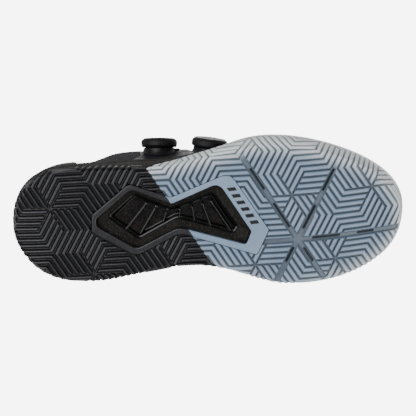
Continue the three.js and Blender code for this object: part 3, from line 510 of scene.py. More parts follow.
def build_tread():
    """Both rubbers' sheets: plan points, triangles, depth, slot and flex."""
    i, j, grid = lattice()
    flat = grid.reshape(-1, 2)
    close = (np.abs(flat[:, 0]) < 185) & (flat[:, 1] > -100) & (flat[:, 1] < 82)  # all of the unrolled sole
    ids = np.full(len(flat), -1)
    ids[close] = np.arange(close.sum())
    ids = ids.reshape(i.shape)
    plan = flat[close].copy()
    ii, jj = i.reshape(-1)[close], j.reshape(-1)[close]
    rim = rounded(RIM_OUTSIDE, 0.3)
    in_rim = inside(plan, rim)
    near = found(OUTLINE_TREE, plan, 1)
    s = ((plan - OUTLINE[near]) * NORMAL[near]).sum(1) + SIDE_START[near]
    fore_top = np.minimum(SIDE_WRAP, rim_height(OUTLINE[:, 0]) - 3)
    depth, slot, flex = groove_depths(plan, TILE[ii % (3 * FINE), jj % (3 * FINE)], ii <= PARTING)
    square = np.stack([ids[:-1, :-1], ids[1:, :-1], ids[1:, 1:], ids[:-1, 1:]], -1).reshape(-1, 4)
    tris = np.concatenate([square[:, [0, 1, 3]], square[:, [1, 2, 3]]])
    tris = tris[(tris >= 0).all(1)]

    def sheet(mine, top):
        limit = STEP * np.argmax(SIDE_UP > top[:, None], axis=1)
        over = s - limit[near]
        good = mine & ~in_rim & (over <= 0)
        kept = tris[mine[tris].all(1) & good[tris].any(1)]
        points = plan.copy()
        used = np.zeros(len(points), bool)
        used[kept.ravel()] = True
        snap(points, rim, used & in_rim)
        beyond = used & (over > 0)
        points[beyond] -= NORMAL[near[beyond]] * over[beyond][:, None]
        return points, kept, depth, slot, flex

    return {"tread_heel": sheet(ii <= PARTING, np.full(COUNT, HEEL_WRAP)),
            "tread_forefoot": sheet(ii >= PARTING, fore_top)}


def finish_tread(name, data):
    """A rubber's ridged face, folded up the shoe's side, with a skirt that closes its edges inward."""
    plan, tris, depth, slot, flex = used_only(*data)
    verts, s, _ = fold_up(plan, depth)
    a, b, c = (verts[tris[:, k]] for k in range(3))
    size = np.linalg.norm(np.cross(b - a, c - a), axis=1)
    tris = tris[size > 1e-5][:, ::-1]
    rim = open_edges(tris)
    edge = np.unique(rim)
    inner, _, _ = fold_up(plan[edge], np.full(len(edge), SKIRT), fade=1e6)
    index = np.full(len(verts), -1)
    index[edge] = len(verts) + np.arange(len(edge))
    skirt = np.column_stack([rim[:, 1], rim[:, 0], index[rim[:, 0]], index[rim[:, 1]]])
    obj = make(name, np.vstack([verts, inner]), [tris, skirt])
    toe = smooth(60, 140, plan[:, 0])
    lateral = smooth(18, -60, plan[:, 1]) if name == "tread_forefoot" else 0 * toe
    milk = (0.25 + 0.75 * np.maximum(lateral, toe)) * smooth(-10, 6, s)
    values = {"depth": depth, "slot": slot, "flex": flex, "mark": 0 * s, "milk": clamp(milk, 0, 1)}
    attributes(obj, **{label: np.concatenate([v, v[edge]]) for label, v in values.items()})
    return obj


# ---------------------------------------------------------------- plates and pads over a plan region
def region(keep, cut, step, rows):
    """Triangles inside every keep outline and outside every cut outline, all in one plane.
    rows are distances from the border at which points are added."""
    loops = [np.asarray(p, float) for p in (*keep, *cut)]

    def good(p):
        ok = np.ones(len(p), bool)
        for k, loop in enumerate(loops):
            ok &= inside(p, loop) == (k < len(keep))
        return ok

    tree = tree_of(np.vstack(loops))
    added = []
    for row in rows:
        for loop in loops:
            way = np.roll(loop, -1, 0) - np.roll(loop, 1, 0)
            way /= np.linalg.norm(way, axis=1)[:, None]
            for sign in (-1, 1):
                p = loop + np.stack([-way[:, 1], way[:, 0]], -1) * row * sign
                p = p[good(p)]
                added.append(p[found(tree, p, 2) > row * 0.93])
    low, high = loops[0].min(0), loops[0].max(0)
    xs = np.arange(low[0], high[0], step)
    ys = np.arange(low[1], high[1], step * 0.866)
    gx, gy = np.meshgrid(xs, ys, indexing="ij")
    gx = gx + (np.arange(len(ys)) % 2)[None, :] * step / 2
    grid = np.stack([gx.ravel(), gy.ravel()], -1)
    grid = grid[good(grid)]
    added.append(grid[found(tree, grid, 2) > rows[-1] + step * 0.45])
    points, edges = [], []
    for loop in loops:
        start = len(points)
        points += [Vector(p) for p in loop]
        edges += [(start + k, start + (k + 1) % len(loop)) for k in range(len(loop))]
    points += [Vector(p) for block in added for p in block]
    out, _, faces, _, _, _ = delaunay_2d_cdt(points, edges, [], 0, 1e-4)
    verts = np.array([[p.x, p.y] for p in out])
    tris = np.array([f for f in faces if len(f) == 3], int)
    tris = tris[good(verts[tris].mean(1))]
    return used_only(verts, tris)


def open_edges(tris):
    """Directed edges that only one triangle uses."""
    e = np.concatenate([tris[:, [0, 1]], tris[:, [1, 2]], tris[:, [2, 0]]])
    n = tris.max() + 1
    code, back = e[:, 0] * n + e[:, 1], e[:, 1] * n + e[:, 0]
    return e[~np.isin(code, back)]


def border_gap(points, border):
    """How far each point lies from the nearest of the border points."""
    return found(tree_of(border), points, 2)


def quarter(d, radius):
    """How far a rounded edge lies below its face, at a distance from the border."""
    return radius * (1 - np.sqrt(1 - (1 - clamp(np.asarray(d) / radius, 0, 1)) ** 2))


def closed(front, back, tris, seam=None):
    """A closed mesh from two copies of a triangle sheet; front is seen anticlockwise.
    Edges whose points are both in the seam stay open, to be welded."""
    n = len(front)
    rim = open_edges(tris)
    if seam is not None:
        rim = rim[~seam[rim].all(1)]
    side = np.column_stack([rim[:, 1], rim[:, 0], rim[:, 0] + n, rim[:, 1] + n])
    return np.vstack([front, back]), [tris, tris[:, ::-1] + n, side]


def plate(name, verts, tris, face_z, back_z):
    """A plate seen from below: face_z and back_z are heights at the plan points."""
    front = np.column_stack([verts, face_z])
    back = np.column_stack([verts, np.broadcast_to(back_z, len(verts))])
    return make(name, *closed(front, back, tris[:, ::-1]))


def both(values):
    """Point values for a closed mesh made from two copies of a sheet."""
    return np.concatenate([values, values])


# ---------------------------------------------------------------- rim, window and shank
def half_plane(to_heel, gap):
    """A large outline on one side of the line that parts the two rubbers."""
    a, b = (STAR + PARTING * (UNIT / FINE) * E1 + j * (UNIT / FINE) * E2 for j in (-200, 200))
    side = np.array([-1.0, 0]) if to_heel else np.array([1.0, 0])
    a, b = a + side * gap, b + side * gap
    corners = [a, b, b + side * 260, a + side * 260]
    return resample(np.array(corners), 0.8)


MARK_FROM, MARK_TO = np.array([40.4, 4.6]), np.array([12.9, -37.0])
MARK_START, MARK_PITCH, MARK_BAR, MARK_HALF, MARK_COUNT = 6.5, 6.3, 3.3, 2.7, 6


def mark(p):
    """Six plain slanted bars, sunk in the rim's toe side."""
    way = MARK_TO - MARK_FROM
    way = way / np.linalg.norm(way)
    rel = p - MARK_FROM
    along, across = rel @ way, rel @ np.array([-way[1], way[0]])
    lean = along + 0.5 * across - MARK_START
    phase = np.mod(lean, MARK_PITCH)
    bar = smooth(0.0, 0.3, phase) * (1 - smooth(MARK_BAR, MARK_BAR + 0.3, phase))
    within = (lean > 0) & (lean < MARK_COUNT * MARK_PITCH)
    return bar * (1 - smooth(MARK_HALF, MARK_HALF + 0.3, np.abs(across))) * within


def build_rim():
    """The flat rubber round the window, in two halves that go with the two rubbers."""
    outer, inner = rounded(RIM_OUTSIDE, 0.5, 0.5), rounded(WINDOW, 0.5)
    pieces = []
    for name, to_heel in (("rim_heel", True), ("rim_forefoot", False)):
        step = 0.7 if to_heel else 0.42  # the marked half is the finer one
        verts, tris = region([outer, half_plane(to_heel, 0.06)], [inner], step, (0.12, 0.35, 0.8))
        border = np.unique(open_edges(tris))
        d = border_gap(verts, verts[border])
        sunk = np.zeros(len(verts)) if to_heel else mark(verts)
        obj = plate(name, verts, tris, 0.12 + quarter(d, 0.8) + 0.5 * sunk, RUBBER)
        attributes(obj, mark=both(sunk), depth=0, milk=0, flex=0, slot=0)
        pieces.append(obj)
    return pieces


def build_bevel():
    """The midsole's sloping face between the rim and the pocket."""
    outer, inner = rounded(WINDOW, 0.5, -0.5), rounded(POCKET, 0.5)
    verts, tris = region([outer], [inner], 0.9, (0.5, 1.0, 1.5))
    d_out = border_gap(verts, outer)
    d_in = border_gap(verts, inner)
    t = d_out / (d_out + d_in + 1e-9)
    groove = 1 - smooth(1.0, 1.5, d_out)
    z = 4.75 + 5.3 * t + 1.3 * groove - 0.25 * np.exp(-((d_in - 0.5) / 0.4) ** 2)
    return plate("window_bevel", verts, tris, z, z + 2.5)


# Each bar's two ends in plan, the medial end last, and its half width.
SHANK_BARS = [
    ((-64.8, 8.4), (-46.6, -15.6), 1.15), ((-52.4, 10.6), (-39.0, -13.6), 1.15),
    ((-34.8, 1.4), (-30.6, -11.2), 1.0), ((-21.9, -1.6), (-21.9, -11.2), 0.95),
    ((-10.2, 0.2), (-12.4, -12.8), 0.95), ((2.4, 4.4), (-4.6, -15.2), 1.1), ((18.0, 8.2), (1.5, -17.2), 1.3)]
FRAME_BARS = [
    ((-73, -0.5), (-55, 12.0), 0.7), ((-72.5, -3.6), (-57, -19.5), 0.7), ((19.2, 6.2), (3.2, -20.5), 0.8)]


BAR_DOWN, BAR_UP = 1.9, 2.0  # how far a bar reaches from its middle line, down and up


def capsule(p, a, b):
    """The distance from points to a segment, and how far along it they are."""
    a, b = np.array(a, float), np.array(b, float)
    t = clamp(((p - a) @ (b - a)) / ((b - a) @ (b - a)), 0, 1)
    return np.linalg.norm(p - (a + t[:, None] * (b - a)), axis=1), t


def build_shank():
    """The pocket's stepped floor, with its amber panels between the bars."""
    outline = rounded(POCKET, 0.5, -0.2)
    verts, tris = region([outline], [], 0.8, (0.4, 0.8, 1.2, 1.8, 2.4, 3.0, 3.6))
    d = border_gap(verts, outline)
    z = 10.3 + 1.9 * smooth(0, 1.2, d) + 2.6 * smooth(1.8, 3.5, d)
    amber = smooth(3.4, 5.0, d)
    for a, b, w in SHANK_BARS:
        r, t = capsule(verts, a, b)
        amber *= smooth(w + 0.2, w + 1.8, r) * (1 - 0.35 * t)
    obj = plate("shank_window", verts, tris, z, 16.6)
    attributes(obj, amber=both(amber))
    return obj


def build_bars():
    """The shank's bars: low rounded bodies with a knuckle at the medial end."""
    pieces = []
    for k, (a, b, w) in enumerate(SHANK_BARS + FRAME_BARS):
        a, b = np.array(a, float), np.array(b, float)
        length = np.linalg.norm(b - a)
        t = np.linspace(0, 1, int(length / 0.6) + 8)
        knuckle = k < len(SHANK_BARS)
        tip = 2.2 / length  # the share of the bar that its round ends take
        ends = np.sqrt(1 - clamp((np.abs(t - 0.5) * 2 - (1 - tip)) / tip, 0, 1) ** 2)
        swell = 1 + (0.55 * np.exp(-((t - 1) * length + 1.6) ** 2 / 2.2) if knuckle else 0)
        half = np.maximum(w * ends * swell, 0.02)
        face = (10.9 - 0.9 * t) if knuckle else np.full(len(t), 12.3)
        way = (b - a) / length
        side = np.array([-way[1], way[0]])
        turn = np.linspace(0, 2 * math.pi, 20, endpoint=False)
        cross, tall = np.cos(turn), np.sin(turn)
        plan = (a + t[:, None] * (b - a))[:, None, :] + side * (cross * half[:, None])[..., None]
        middle = (face + BAR_DOWN)[:, None]
        z = middle - np.where(tall > 0, BAR_DOWN, BAR_UP) * tall * (half / half.max())[:, None] ** 0.5
        verts = np.concatenate([plan, z[..., None]], -1).reshape(-1, 3)
        pieces.append(make(f"shank_bar_{k + 1}", verts, strip(len(t), len(turn))))
        attributes(pieces[-1], amber=0)
    return pieces


# ---------------------------------------------------------------- the midsole's side
WALL_IN, WALL_EDGE = 1.0, 1.3  # how far the foam lies inside the side's form, and its upper edge's radius
LINE_BELOW, LINE_DEPTH, LINE_HALF = 7.5, 0.55, 0.7  # the moulded line under the rim


def build_midsole():
    """The foam wall, from behind the rubber's upper edge up over the rim and a little way down inside."""
    index = np.arange(0, COUNT, 2)
    x0 = OUTLINE[index, 0]
    n = NORMAL[index]
    rim = rim_height(x0)
    wrap = np.where(x0 < -45, HEEL_WRAP, SIDE_WRAP[index])
    low, edge = np.minimum(wrap, rim - 3) - 3.0, rim - WALL_EDGE
    rows = []
    for level in np.linspace(0, 1, 30):
        up = mix(low, edge, level)
        line = LINE_DEPTH * np.exp(-((up - (rim - LINE_BELOW)) / LINE_HALF) ** 2) * (rim - low > 12)
        rows.append((side_out(up, index) - WALL_IN - line, up))
    top_out = side_out(edge, index) - WALL_IN
    for turn in np.linspace(0.12, 1, 8) * math.pi / 2:
        rows.append((top_out - WALL_EDGE * (1 - np.cos(turn)), edge + WALL_EDGE * np.sin(turn)))
    rows += [(top_out - 2.2, rim), (top_out - 2.9, rim - 0.6), (top_out - 3.1, rim - 5.5)]
    verts = []
    for out, up in rows:
        xy = OUTLINE[index] + n * out[:, None]
        verts.append(np.column_stack([xy, tread_z(xy[:, 0]) + up]))
    return make("midsole_wall", np.vstack(verts), strip(len(rows), len(index)))


# ---------------------------------------------------------------- the upper's surface
ARC_MM, LONG_MM = 190.0, 330.0  # the (s, a) plane's size: round the section, and along the shoe
CURVE_STEP = 1.5  # between a curve's points in that plane
COLLAR_LINE = [
    (-160, 104), (-146, 103), (-132, 93), (-112, 79), (-84, 71), (-60, 77), (-43, 96), (-34, 118)]


def catmull(points, steps):
    """A uniform Catmull-Rom curve through the points."""
    p = np.asarray(points, float)
    p = np.vstack([2 * p[0] - p[1], p, 2 * p[-1] - p[-2]])
    out = []
    for i in range(1, len(p) - 2):
        for t in np.arange(steps) / steps:
            a, b, c, d = p[i - 1:i + 3]
            out.append(0.5 * (2 * b + (c - a) * t + (2 * a - 5 * b + 4 * c - d) * t * t
                              + (3 * b - a - 3 * c + d) * t ** 3))
    out.append(p[-2])
    return np.array(out)


_collar = catmull(COLLAR_LINE, 18)


def collar_z(x):
    return np.interp(x, _collar[:, 0], _collar[:, 1])


def station(s, grow):
    """The section's station at s of LONG_MM along the upper's form grown by grow."""
    low = HEEL_TIP + UPPER_INSET - grow
    high = TOE_TIP - UPPER_INSET + grow
    return mix(low, high, (1 - np.cos(math.pi * clamp(np.asarray(s, float) / LONG_MM, 0, 1))) / 2)


def on_upper(sa, grow):
    """Points of the upper's surface from (s, a) pairs; a runs from the lateral foot to the medial one."""
    return upper_point(station(sa[:, 0], grow), sa[:, 1] / ARC_MM * math.pi, grow)


def s_at(x):
    """The s whose station is x, on the plain form."""
    low, high = HEEL_TIP + UPPER_INSET, TOE_TIP - UPPER_INSET
    c = clamp((np.asarray(x, float) - low) / (high - low), 0, 1)
    return np.arccos(1 - 2 * c) / math.pi * LONG_MM


def solve(measure, low, high):
    """Where rising measures reach zero, by halving."""
    low, high = np.asarray(low, float) + 0 * measure(low), np.asarray(high, float) + 0 * measure(low)
    for _ in range(34):
        middle = (low + high) / 2
        under = measure(middle) < 0
        low, high = np.where(under, middle, low), np.where(under, high, middle)
    return low


def a_at_height(s, z, side="lateral"):
    """The a where the surface reaches height z on a side; the ridge where it never does."""
    def rise(a):
        at = a if side == "lateral" else ARC_MM - a
        return on_upper(np.column_stack([s, at]), 0)[:, 2] - z

    a = solve(rise, np.zeros(len(s)), np.full(len(s), ARC_MM / 2))
    return a if side == "lateral" else ARC_MM - a


def throat_y(x, side, out):
    """The y at a distance out from the throat's edge."""
    return ridge_y(x) + (1 if side == "medial" else -1) * (throat_half(x) + out)


def side_curve(points, side):
    """Side-view (x, z) points as (s, a) pairs on a side of the upper."""
    p = resample(np.array(points, float), 2.0, closed=False)
    x = p[:, 0].copy()
    for _ in range(6):
        s = s_at(x)
        a = a_at_height(s, p[:, 1], side)
        x += p[:, 0] - on_upper(np.column_stack([s, a]), 0)[:, 0]
    return np.column_stack([s_at(x), a])


def collar_curve(side, lift, front):
    """The collar's top line on a side as (s, a), from the heel's middle to the throat."""
    s = np.arange(0, s_at(front), CURVE_STEP)
    z = np.full(len(s), 100.0)
    for _ in range(5):
        a = a_at_height(s, z, side)
        z = collar_z(on_upper(np.column_stack([s, a]), 0)[:, 0]) + lift
    return np.column_stack([s, a])


def throat_curve(side, out, back=-62.0, front=62.0):
    """A line at a distance out from the throat's edge on a side as (s, a), from its back to the toe end."""
    s = np.arange(s_at(back), s_at(front - 4), CURVE_STEP)
    y = throat_y(station(s, 0), side, out)
    ends = np.zeros(len(s)), np.full(len(s), ARC_MM)
    return np.column_stack([s, solve(lambda a: on_upper(np.column_stack([s, a]), 0)[:, 1] - y, *ends)])


def opening(lift=0.0, out=0.0, front=62.0):
    """The (s, a) outline of everything open, the collar's mouth and the throat, widened by lift and out."""
    sides = []
    for side in ("lateral", "medial"):
        top, edge = collar_curve(side, lift, -30.0), throat_curve(side, out, front=front)
        s = np.union1d(top[:, 0], edge[:, 0])
        top_a = np.interp(s, top[:, 0], top[:, 1], right=ARC_MM / 2)
        edge_a = np.interp(s, edge[:, 0], edge[:, 1], left=ARC_MM / 2)
        a = np.minimum(top_a, edge_a) if side == "lateral" else np.maximum(top_a, edge_a)
        sides.append(resample(np.column_stack([s, a]), CURVE_STEP, closed=False))
    lateral, medial = sides
    tip_s = s_at(front)
    middle = (lateral[-1] + medial[-1]) / 2
    nose = [middle + np.array([(tip_s - middle[0]) * math.cos(t), 0])
            + np.array([0, math.sin(t)]) * (medial[-1, 1] - lateral[-1, 1]) / 2
            for t in np.linspace(-math.pi / 2, math.pi / 2, 15)[1:-1]]
    return np.vstack([[[-3, lateral[0, 1]]], lateral, nose, medial[::-1], [[-3, medial[0, 1]]]])


def frame_of_plane():
    """The whole (s, a) plane's border, its two short ends alike on both sides of the ridge."""
    along = np.linspace(0, LONG_MM, 200)
    up = np.linspace(0, ARC_MM, 121)
    return np.vstack([
        np.column_stack([along, 0 * along])[:-1], np.column_stack([0 * up + LONG_MM, up])[:-1],
        np.column_stack([along, 0 * along + ARC_MM])[:0:-1], np.column_stack([0 * up, up])[:0:-1]])


WHOLE = frame_of_plane()


def joined(name, pieces):
    """One object out of pieces that meet edge to edge; one piece alone is welded along its own seams."""
    work = bmesh.new()
    for piece in pieces:
        work.from_mesh(piece.data)
    bmesh.ops.remove_doubles(work, verts=work.verts, dist=2e-5)
    first = pieces[0]
    work.to_mesh(first.data)
    work.free()
    first.data.shade_smooth()
    first.name = name
    for piece in pieces[1:]:
        bpy.data.objects.remove(piece)
    return first


def lifted(sa, lifts):
    """Surface points at a lift of their own each, mixed between two whole layers."""
    low, high = float(np.min(lifts)) - 0.01, float(np.max(lifts)) + 0.01
    a, b = on_upper(sa, low), on_upper(sa, high)
    t = ((lifts - low) / (high - low))[:, None]
    return mix(a, b, t)


def skin(name, keep, cut, outer, inner, radius, inner_radius, step, rows=(0.25, 0.6), swell=None):
    """A sheet on the upper between two lifts, cut to (s, a) outlines, with rounded edges.
    The heel's and toe's middle lines, where both sides meet, count as no edge."""
    verts, tris = region([WHOLE] + list(keep), cut, step, rows)
    for tip in (0, LONG_MM):
        verts[np.abs(verts[:, 0] - tip) < 0.3, 0] = tip
    seam = (verts[:, 0] < 0.01) | (verts[:, 0] > LONG_MM - 0.01)
    border = np.unique(open_edges(tris))
    real = border[~seam[border]]
    at = on_upper(verts, (outer + inner) / 2)
    d = border_gap(at, at[real])
    extra = np.zeros(len(verts)) if swell is None else swell(d)
    front = lifted(verts, outer - quarter(d, radius))
    back = lifted(verts, inner + quarter(d, inner_radius) - extra)
    return joined(name, [make(name, *closed(front, back, tris, seam))])


# ---------------------------------------------------------------- the upper's pieces
def wrap_outline(points, toe):
    """A side-view line from the foot to the top: one outline that wraps the toe, or the heel's two halves."""
    lateral, medial = side_curve(points, "lateral"), side_curve(points, "medial")
    end, top = (LONG_MM + 3 if toe else -3), ARC_MM + 3
    low, high = [[end, -3], [lateral[0, 0], -3]], [[medial[0, 0], top], [end, top]]
    if toe:
        return np.vstack([low, lateral, medial[::-1], high])
    return [np.vstack([foot, curve[curve[:, 0] > 0.5], [[end, curve[-1, 1]]]])
            for foot, curve in ((low, lateral), (high[::-1], medial))]


# Side-view (x, z) lines: the eyestay's lower edge, and the saddles' outlines from foot to foot.
EYESTAY_LINE = [(-48, 80), (-34, 84), (-22, 88), (-4, 76), (18, 66), (40, 58), (56, 56), (66, 60)]
SADDLE_LINES = {
    "lateral": [(-62, 30), (-52, 52), (-54, 68), (-48, 79), (-34, 83), (-22, 87), (-4, 75), (14, 66.6),
                (22, 48), (36, 30)],
    "medial": [(-50, 30), (-30, 52), (-14, 66), (-4, 75), (10, 68.4), (20, 50), (34, 30)]}


def eyestay_outline(side):
    low = side_curve(EYESTAY_LINE, side)
    ridge = ARC_MM / 2
    s_end, s_back = s_at(67.0), s_at(-46.0)
    return np.vstack([low, [[s_end, low[-1, 1]], [s_end, ridge], [s_back, ridge], [low[0, 0], ridge]]])


def saddle_outline(side):
    curve = side_curve(SADDLE_LINES[side], side)
    foot = -3 if side == "lateral" else ARC_MM + 3
    return np.vstack([curve, [[curve[-1, 0], foot], [curve[0, 0], foot]]])


def smooth_loop(points):
    """Rounds a closed outline's corners a little by averaging."""
    p = resample(points, 1.4)
    for _ in range(3):
        p = (np.roll(p, 1, 0) + 2 * p + np.roll(p, -1, 0)) / 4
    return p


def build_upper():
    """The textile shell and the film overlays on it."""
    mouth = opening()
    wide = opening(0.6, 1.5, 63.5)
    made = {"upper_shell": skin("upper_textile", [], [mouth], 0.0, -SKIN, 0.7, 0.7, 1.7, (0.25, 0.7))}

    def film(name, outline, cut, face):
        return skin(name, [outline], cut, face, 0.05, 0.4, 0.02, 1.7)

    toe = wrap_outline([(96, 20), (104, 52), (112, 68)], True)
    made["toe_cap"] = film("toe_cap_film", toe, [], FILM + 0.3)
    for side in ("lateral", "medial"):
        stay, saddle = smooth_loop(eyestay_outline(side)), smooth_loop(saddle_outline(side))
        made[f"eyestay_{side}"] = film(f"eyestay_{side}_film", stay, [wide], FILM + 0.3)
        made[f"saddle_{side}"] = film(f"saddle_{side}_film", saddle, [wide], FILM - 0.15)
    outlines = wrap_outline([(-98, 30), (-104, 48), (-128, 66), (-150, 70)], False)
    halves = [film(f"heel_film_{k}", outline, [], FILM + 0.3) for k, outline in enumerate(outlines)]
    made["heel_overlay"] = joined("heel_film", halves)
    return made


PAD_FACE = -SKIN - 0.35  # the collar's and tongue's pads lie just inside the shell


def lining_band():
    """The collar lining's (s, a) outline on each side, from over the collar's line down to the foot."""
    bands = []
    for side in ("lateral", "medial"):
        top = collar_curve(side, 2.0, -40.0)
        low = side_curve([(-150, 57), (-95, 57), (-60, 52), (-44, 61)], side)
        bands.append(np.vstack([[[-3, top[0, 1]]], top, low[::-1], [[-3, low[0, 1]]]]))
    return bands


def build_lining():
    """Both sides of the collar's pad, swollen inward."""
    return joined("collar_pad", [
        skin(f"collar_pad_{k}", [band], [], PAD_FACE, PAD_FACE - 4.85, 2.6, 2.2, 2.2, (0.5, 1.2, 2.2),
             lambda d: 1.4 * smooth(1.0, 12.0, d)) for k, band in enumerate(lining_band())])


def tongue_outline():
    """The padded tongue's (s, a) outline, from its tip over the collar to the throat's end."""
    lateral, medial = (throat_curve(side, 4.5, back=-50.0, front=66.0) for side in ("lateral", "medial"))
    middle, half = (lateral[0] + medial[0]) / 2, (medial[0, 1] - lateral[0, 1]) / 2
    turn = np.linspace(math.pi / 2, -math.pi / 2, 25)[1:-1]
    across = half * np.sign(turn) * np.abs(np.sin(turn)) ** 0.75
    tip = middle + np.column_stack([-10 * np.cos(turn) ** 0.7, across])
    return smooth_loop(np.vstack([lateral, medial[::-1], tip]))


def build_tongue():
    return skin("tongue_pad", [tongue_outline()], [], PAD_FACE, PAD_FACE - 4.25, 2.0, 2.2, 2.2,
                (0.5, 1.2, 2.2), lambda d: 1.2 * smooth(1.0, 10.0, d))


def build_sockliner():
    """The padded footbed, a little higher along its border."""
    outline = outline_of(UPPER_EDGE, 1.5, -SKIN - 1.2, UPPER_INSET, 160)
    verts, tris = region([outline], [], 2.6, (0.6, 1.4, 2.6))
    d = border_gap(verts, outline)
    base = footbed_z(verts[:, 0])
    top = base + 5.2 + 0.9 * (1 - smooth(3, 16, d)) - quarter(d, 1.6)
    front, back = np.column_stack([verts, top]), np.column_stack([verts, base + 2.15])
    return make("sockliner_pad", *closed(front, back, tris))


def sweep(name, path, section, across):
    """A closed section swept along a path; across is the direction of the section's first coordinate."""
    path = np.asarray(path, float)
    way = np.gradient(path, axis=0)
    way /= np.linalg.norm(way, axis=1)[:, None]
    side = np.broadcast_to(np.asarray(across, float), way.shape).copy()
    side -= way * (side * way).sum(1)[:, None]
    side /= np.linalg.norm(side, axis=1)[:, None]
    up = np.cross(way, side)
    k = len(section)
    verts = path[:, None] + side[:, None] * section[None, :, :1] + up[:, None] * section[None, :, 1:]
    verts = verts.reshape(-1, 3)
    ring, nxt = np.arange(k), np.roll(np.arange(k), -1)
    n, last = len(verts), (len(path) - 1) * k
    caps = np.vstack([np.column_stack([np.full(k, n), nxt, ring]),
                      np.column_stack([np.full(k, n + 1), ring + last, nxt + last])])
    return make(name, np.vstack([verts, path[0], path[-1]]), [strip(len(path), k), caps])


def build_pull_tab():
    """The webbing loop: up the heel's back, over the collar and down inside."""
    z = np.array([83.0, 89.0, 95.0])
    behind = on_upper(np.column_stack([0 * z, a_at_height(0 * z, z)]), 0.45)[:, 0]
    over = [(-145.4, 104.0), (-144.6, 110.4), (-141, 113.2), (-136, 110.8), (-132.9, 103.8), (-131.4, 94)]
    line = catmull(list(zip(behind, z)) + over, 10)
    path = np.column_stack([line[:, 0], 0 * line[:, 0], line[:, 1]])
    section = rounded([(-6, -0.65, 0.5), (6, -0.65, 0.5), (6, 0.65, 0.5), (-6, 0.65, 0.5)], 0.35)
    return sweep("pull_tab_webbing", path, section, (0, 1, 0))


def stitches(name, curves, lift):
    """Thread stitches laid end to end along (s, a) curves on the upper."""
    rings, around, pitch, length, radius = 5, 8, 3.0, 2.2, 0.28
    t = math.pi * (np.arange(rings) + 0.35)[:, None] / (rings - 0.3)
    turn = 2 * math.pi * np.arange(around) / around
    along = (length / 2 * (1 - np.cos(t)) + 0 * turn).reshape(-1, 1)
    wide = radius * np.sin(t) ** 0.6
    across, high = (wide * np.cos(turn)).reshape(-1, 1), (wide * np.sin(turn)).reshape(-1, 1)
    verts, quads = [], []
    for curve in curves:
        line = on_upper(resample(curve, 0.7, closed=False), lift)
        base = on_upper(resample(curve, 0.7, closed=False), lift - 1)
        spots = resample(np.column_stack([line, line - base]), pitch, closed=False)
        for p, q in zip(spots[:-1], spots[1:]):
            way = q[:3] - p[:3]
            reach = np.linalg.norm(way)
            if reach < 1e-3 or reach > 2 * pitch:
                continue
            way /= reach
            up = p[3:] / np.linalg.norm(p[3:])
            quads.append(strip(rings, around, True) + len(verts) * rings * around)
            verts.append(p[:3] + along * way + across * np.cross(up, way) + high * up)
    return make(name, np.vstack(verts), np.vstack(quads))


def moved_in(curve, by):
    """An (s, a) curve moved sideways in its plane."""
    way = np.gradient(curve, axis=0)
    way /= np.linalg.norm(way, axis=1)[:, None] + 1e-9
    return curve + np.stack([-way[:, 1], way[:, 0]], -1) * by


def build_stitches():
    """Four rows of stitches, each on both sides of the shoe."""
    collar, throat, eyestay, heel = [], [], [], []
    for side, way in (("lateral", 1), ("medial", -1)):
        collar.append(collar_curve(side, -4.0, -52.0))
        throat.append(throat_curve(side, 3.2, -34.0))
        eyestay.append(moved_in(side_curve(EYESTAY_LINE[1:], side), 2.0 * way))
        heel.append(moved_in(side_curve([(-98, 36), (-104, 48), (-128, 66), (-149, 70)], side), -2.2 * way))
    on_film = FILM + 0.35
    return [stitches("collar_stitches", collar, 0.1), stitches("throat_stitches", throat, on_film),
            stitches("eyestay_stitches", eyestay, on_film), stitches("heel_stitches", heel, on_film)]


# ---------------------------------------------------------------- dials
SEAT = FILM + 0.6  # how far outside the upper's form the dials and guides sit
# Each dial's x and height in side view, how far it is lifted off its seat, and its axis.
DIALS = {
    "rear": (-38.2, 68, 0.0, (0, -math.cos(0.262), math.sin(0.262))),
    "front": (0.6, 55, 1.1, (0.12, -0.98, 0.15))}


def angle_at(x, z, grow):
    """The angle round the section where the lateral side reaches height z."""
    return solve(lambda a: upper_point(x, a, grow)[..., 2] - z, 0.0, math.pi / 2)


def dial_frame(x, z, lift, axis):
    """A dial's seat, and its three axes with the one it turns about last."""
    axis = np.array(axis, float)
    axis /= np.linalg.norm(axis)
    seat = upper_point(x, angle_at(x, z, SEAT), SEAT) + axis * lift
    across = np.array([1.0, 0, 0]) - axis * axis[0]
    across /= np.linalg.norm(across)
    return seat, np.stack([across, np.cross(axis, across), axis])


DIAL_FRAMES = {name: dial_frame(*dial) for name, dial in DIALS.items()}


def placed(place, points):
    seat, axes = DIAL_FRAMES[place]
    return seat + np.asarray(points, float) @ axes


def turned(name, place, corners, body, sides=120, step=0.35, ripple=None):
    """A turned ring or disc: corners are (radius, z, corner radius) round its section."""
    section = rounded(corners, step)
    after = np.roll(section, -1, 0)
    if np.sum(section[:, 0] * after[:, 1] - after[:, 0] * section[:, 1]) < 0:
        section = section[::-1]
    turn = 2 * math.pi * np.arange(sides) / sides
    radius = np.repeat(section[:, :1], sides, 1)
    height = np.repeat(section[:, 1:], sides, 1)
    if ripple is not None:
        radius = ripple(turn[None, :], radius, height)
    points = np.stack([radius * np.cos(turn), radius * np.sin(turn), height], -1).reshape(-1, 3)
    return make(name, placed(place, points), strip(len(section) + 1, sides) % len(points), body)


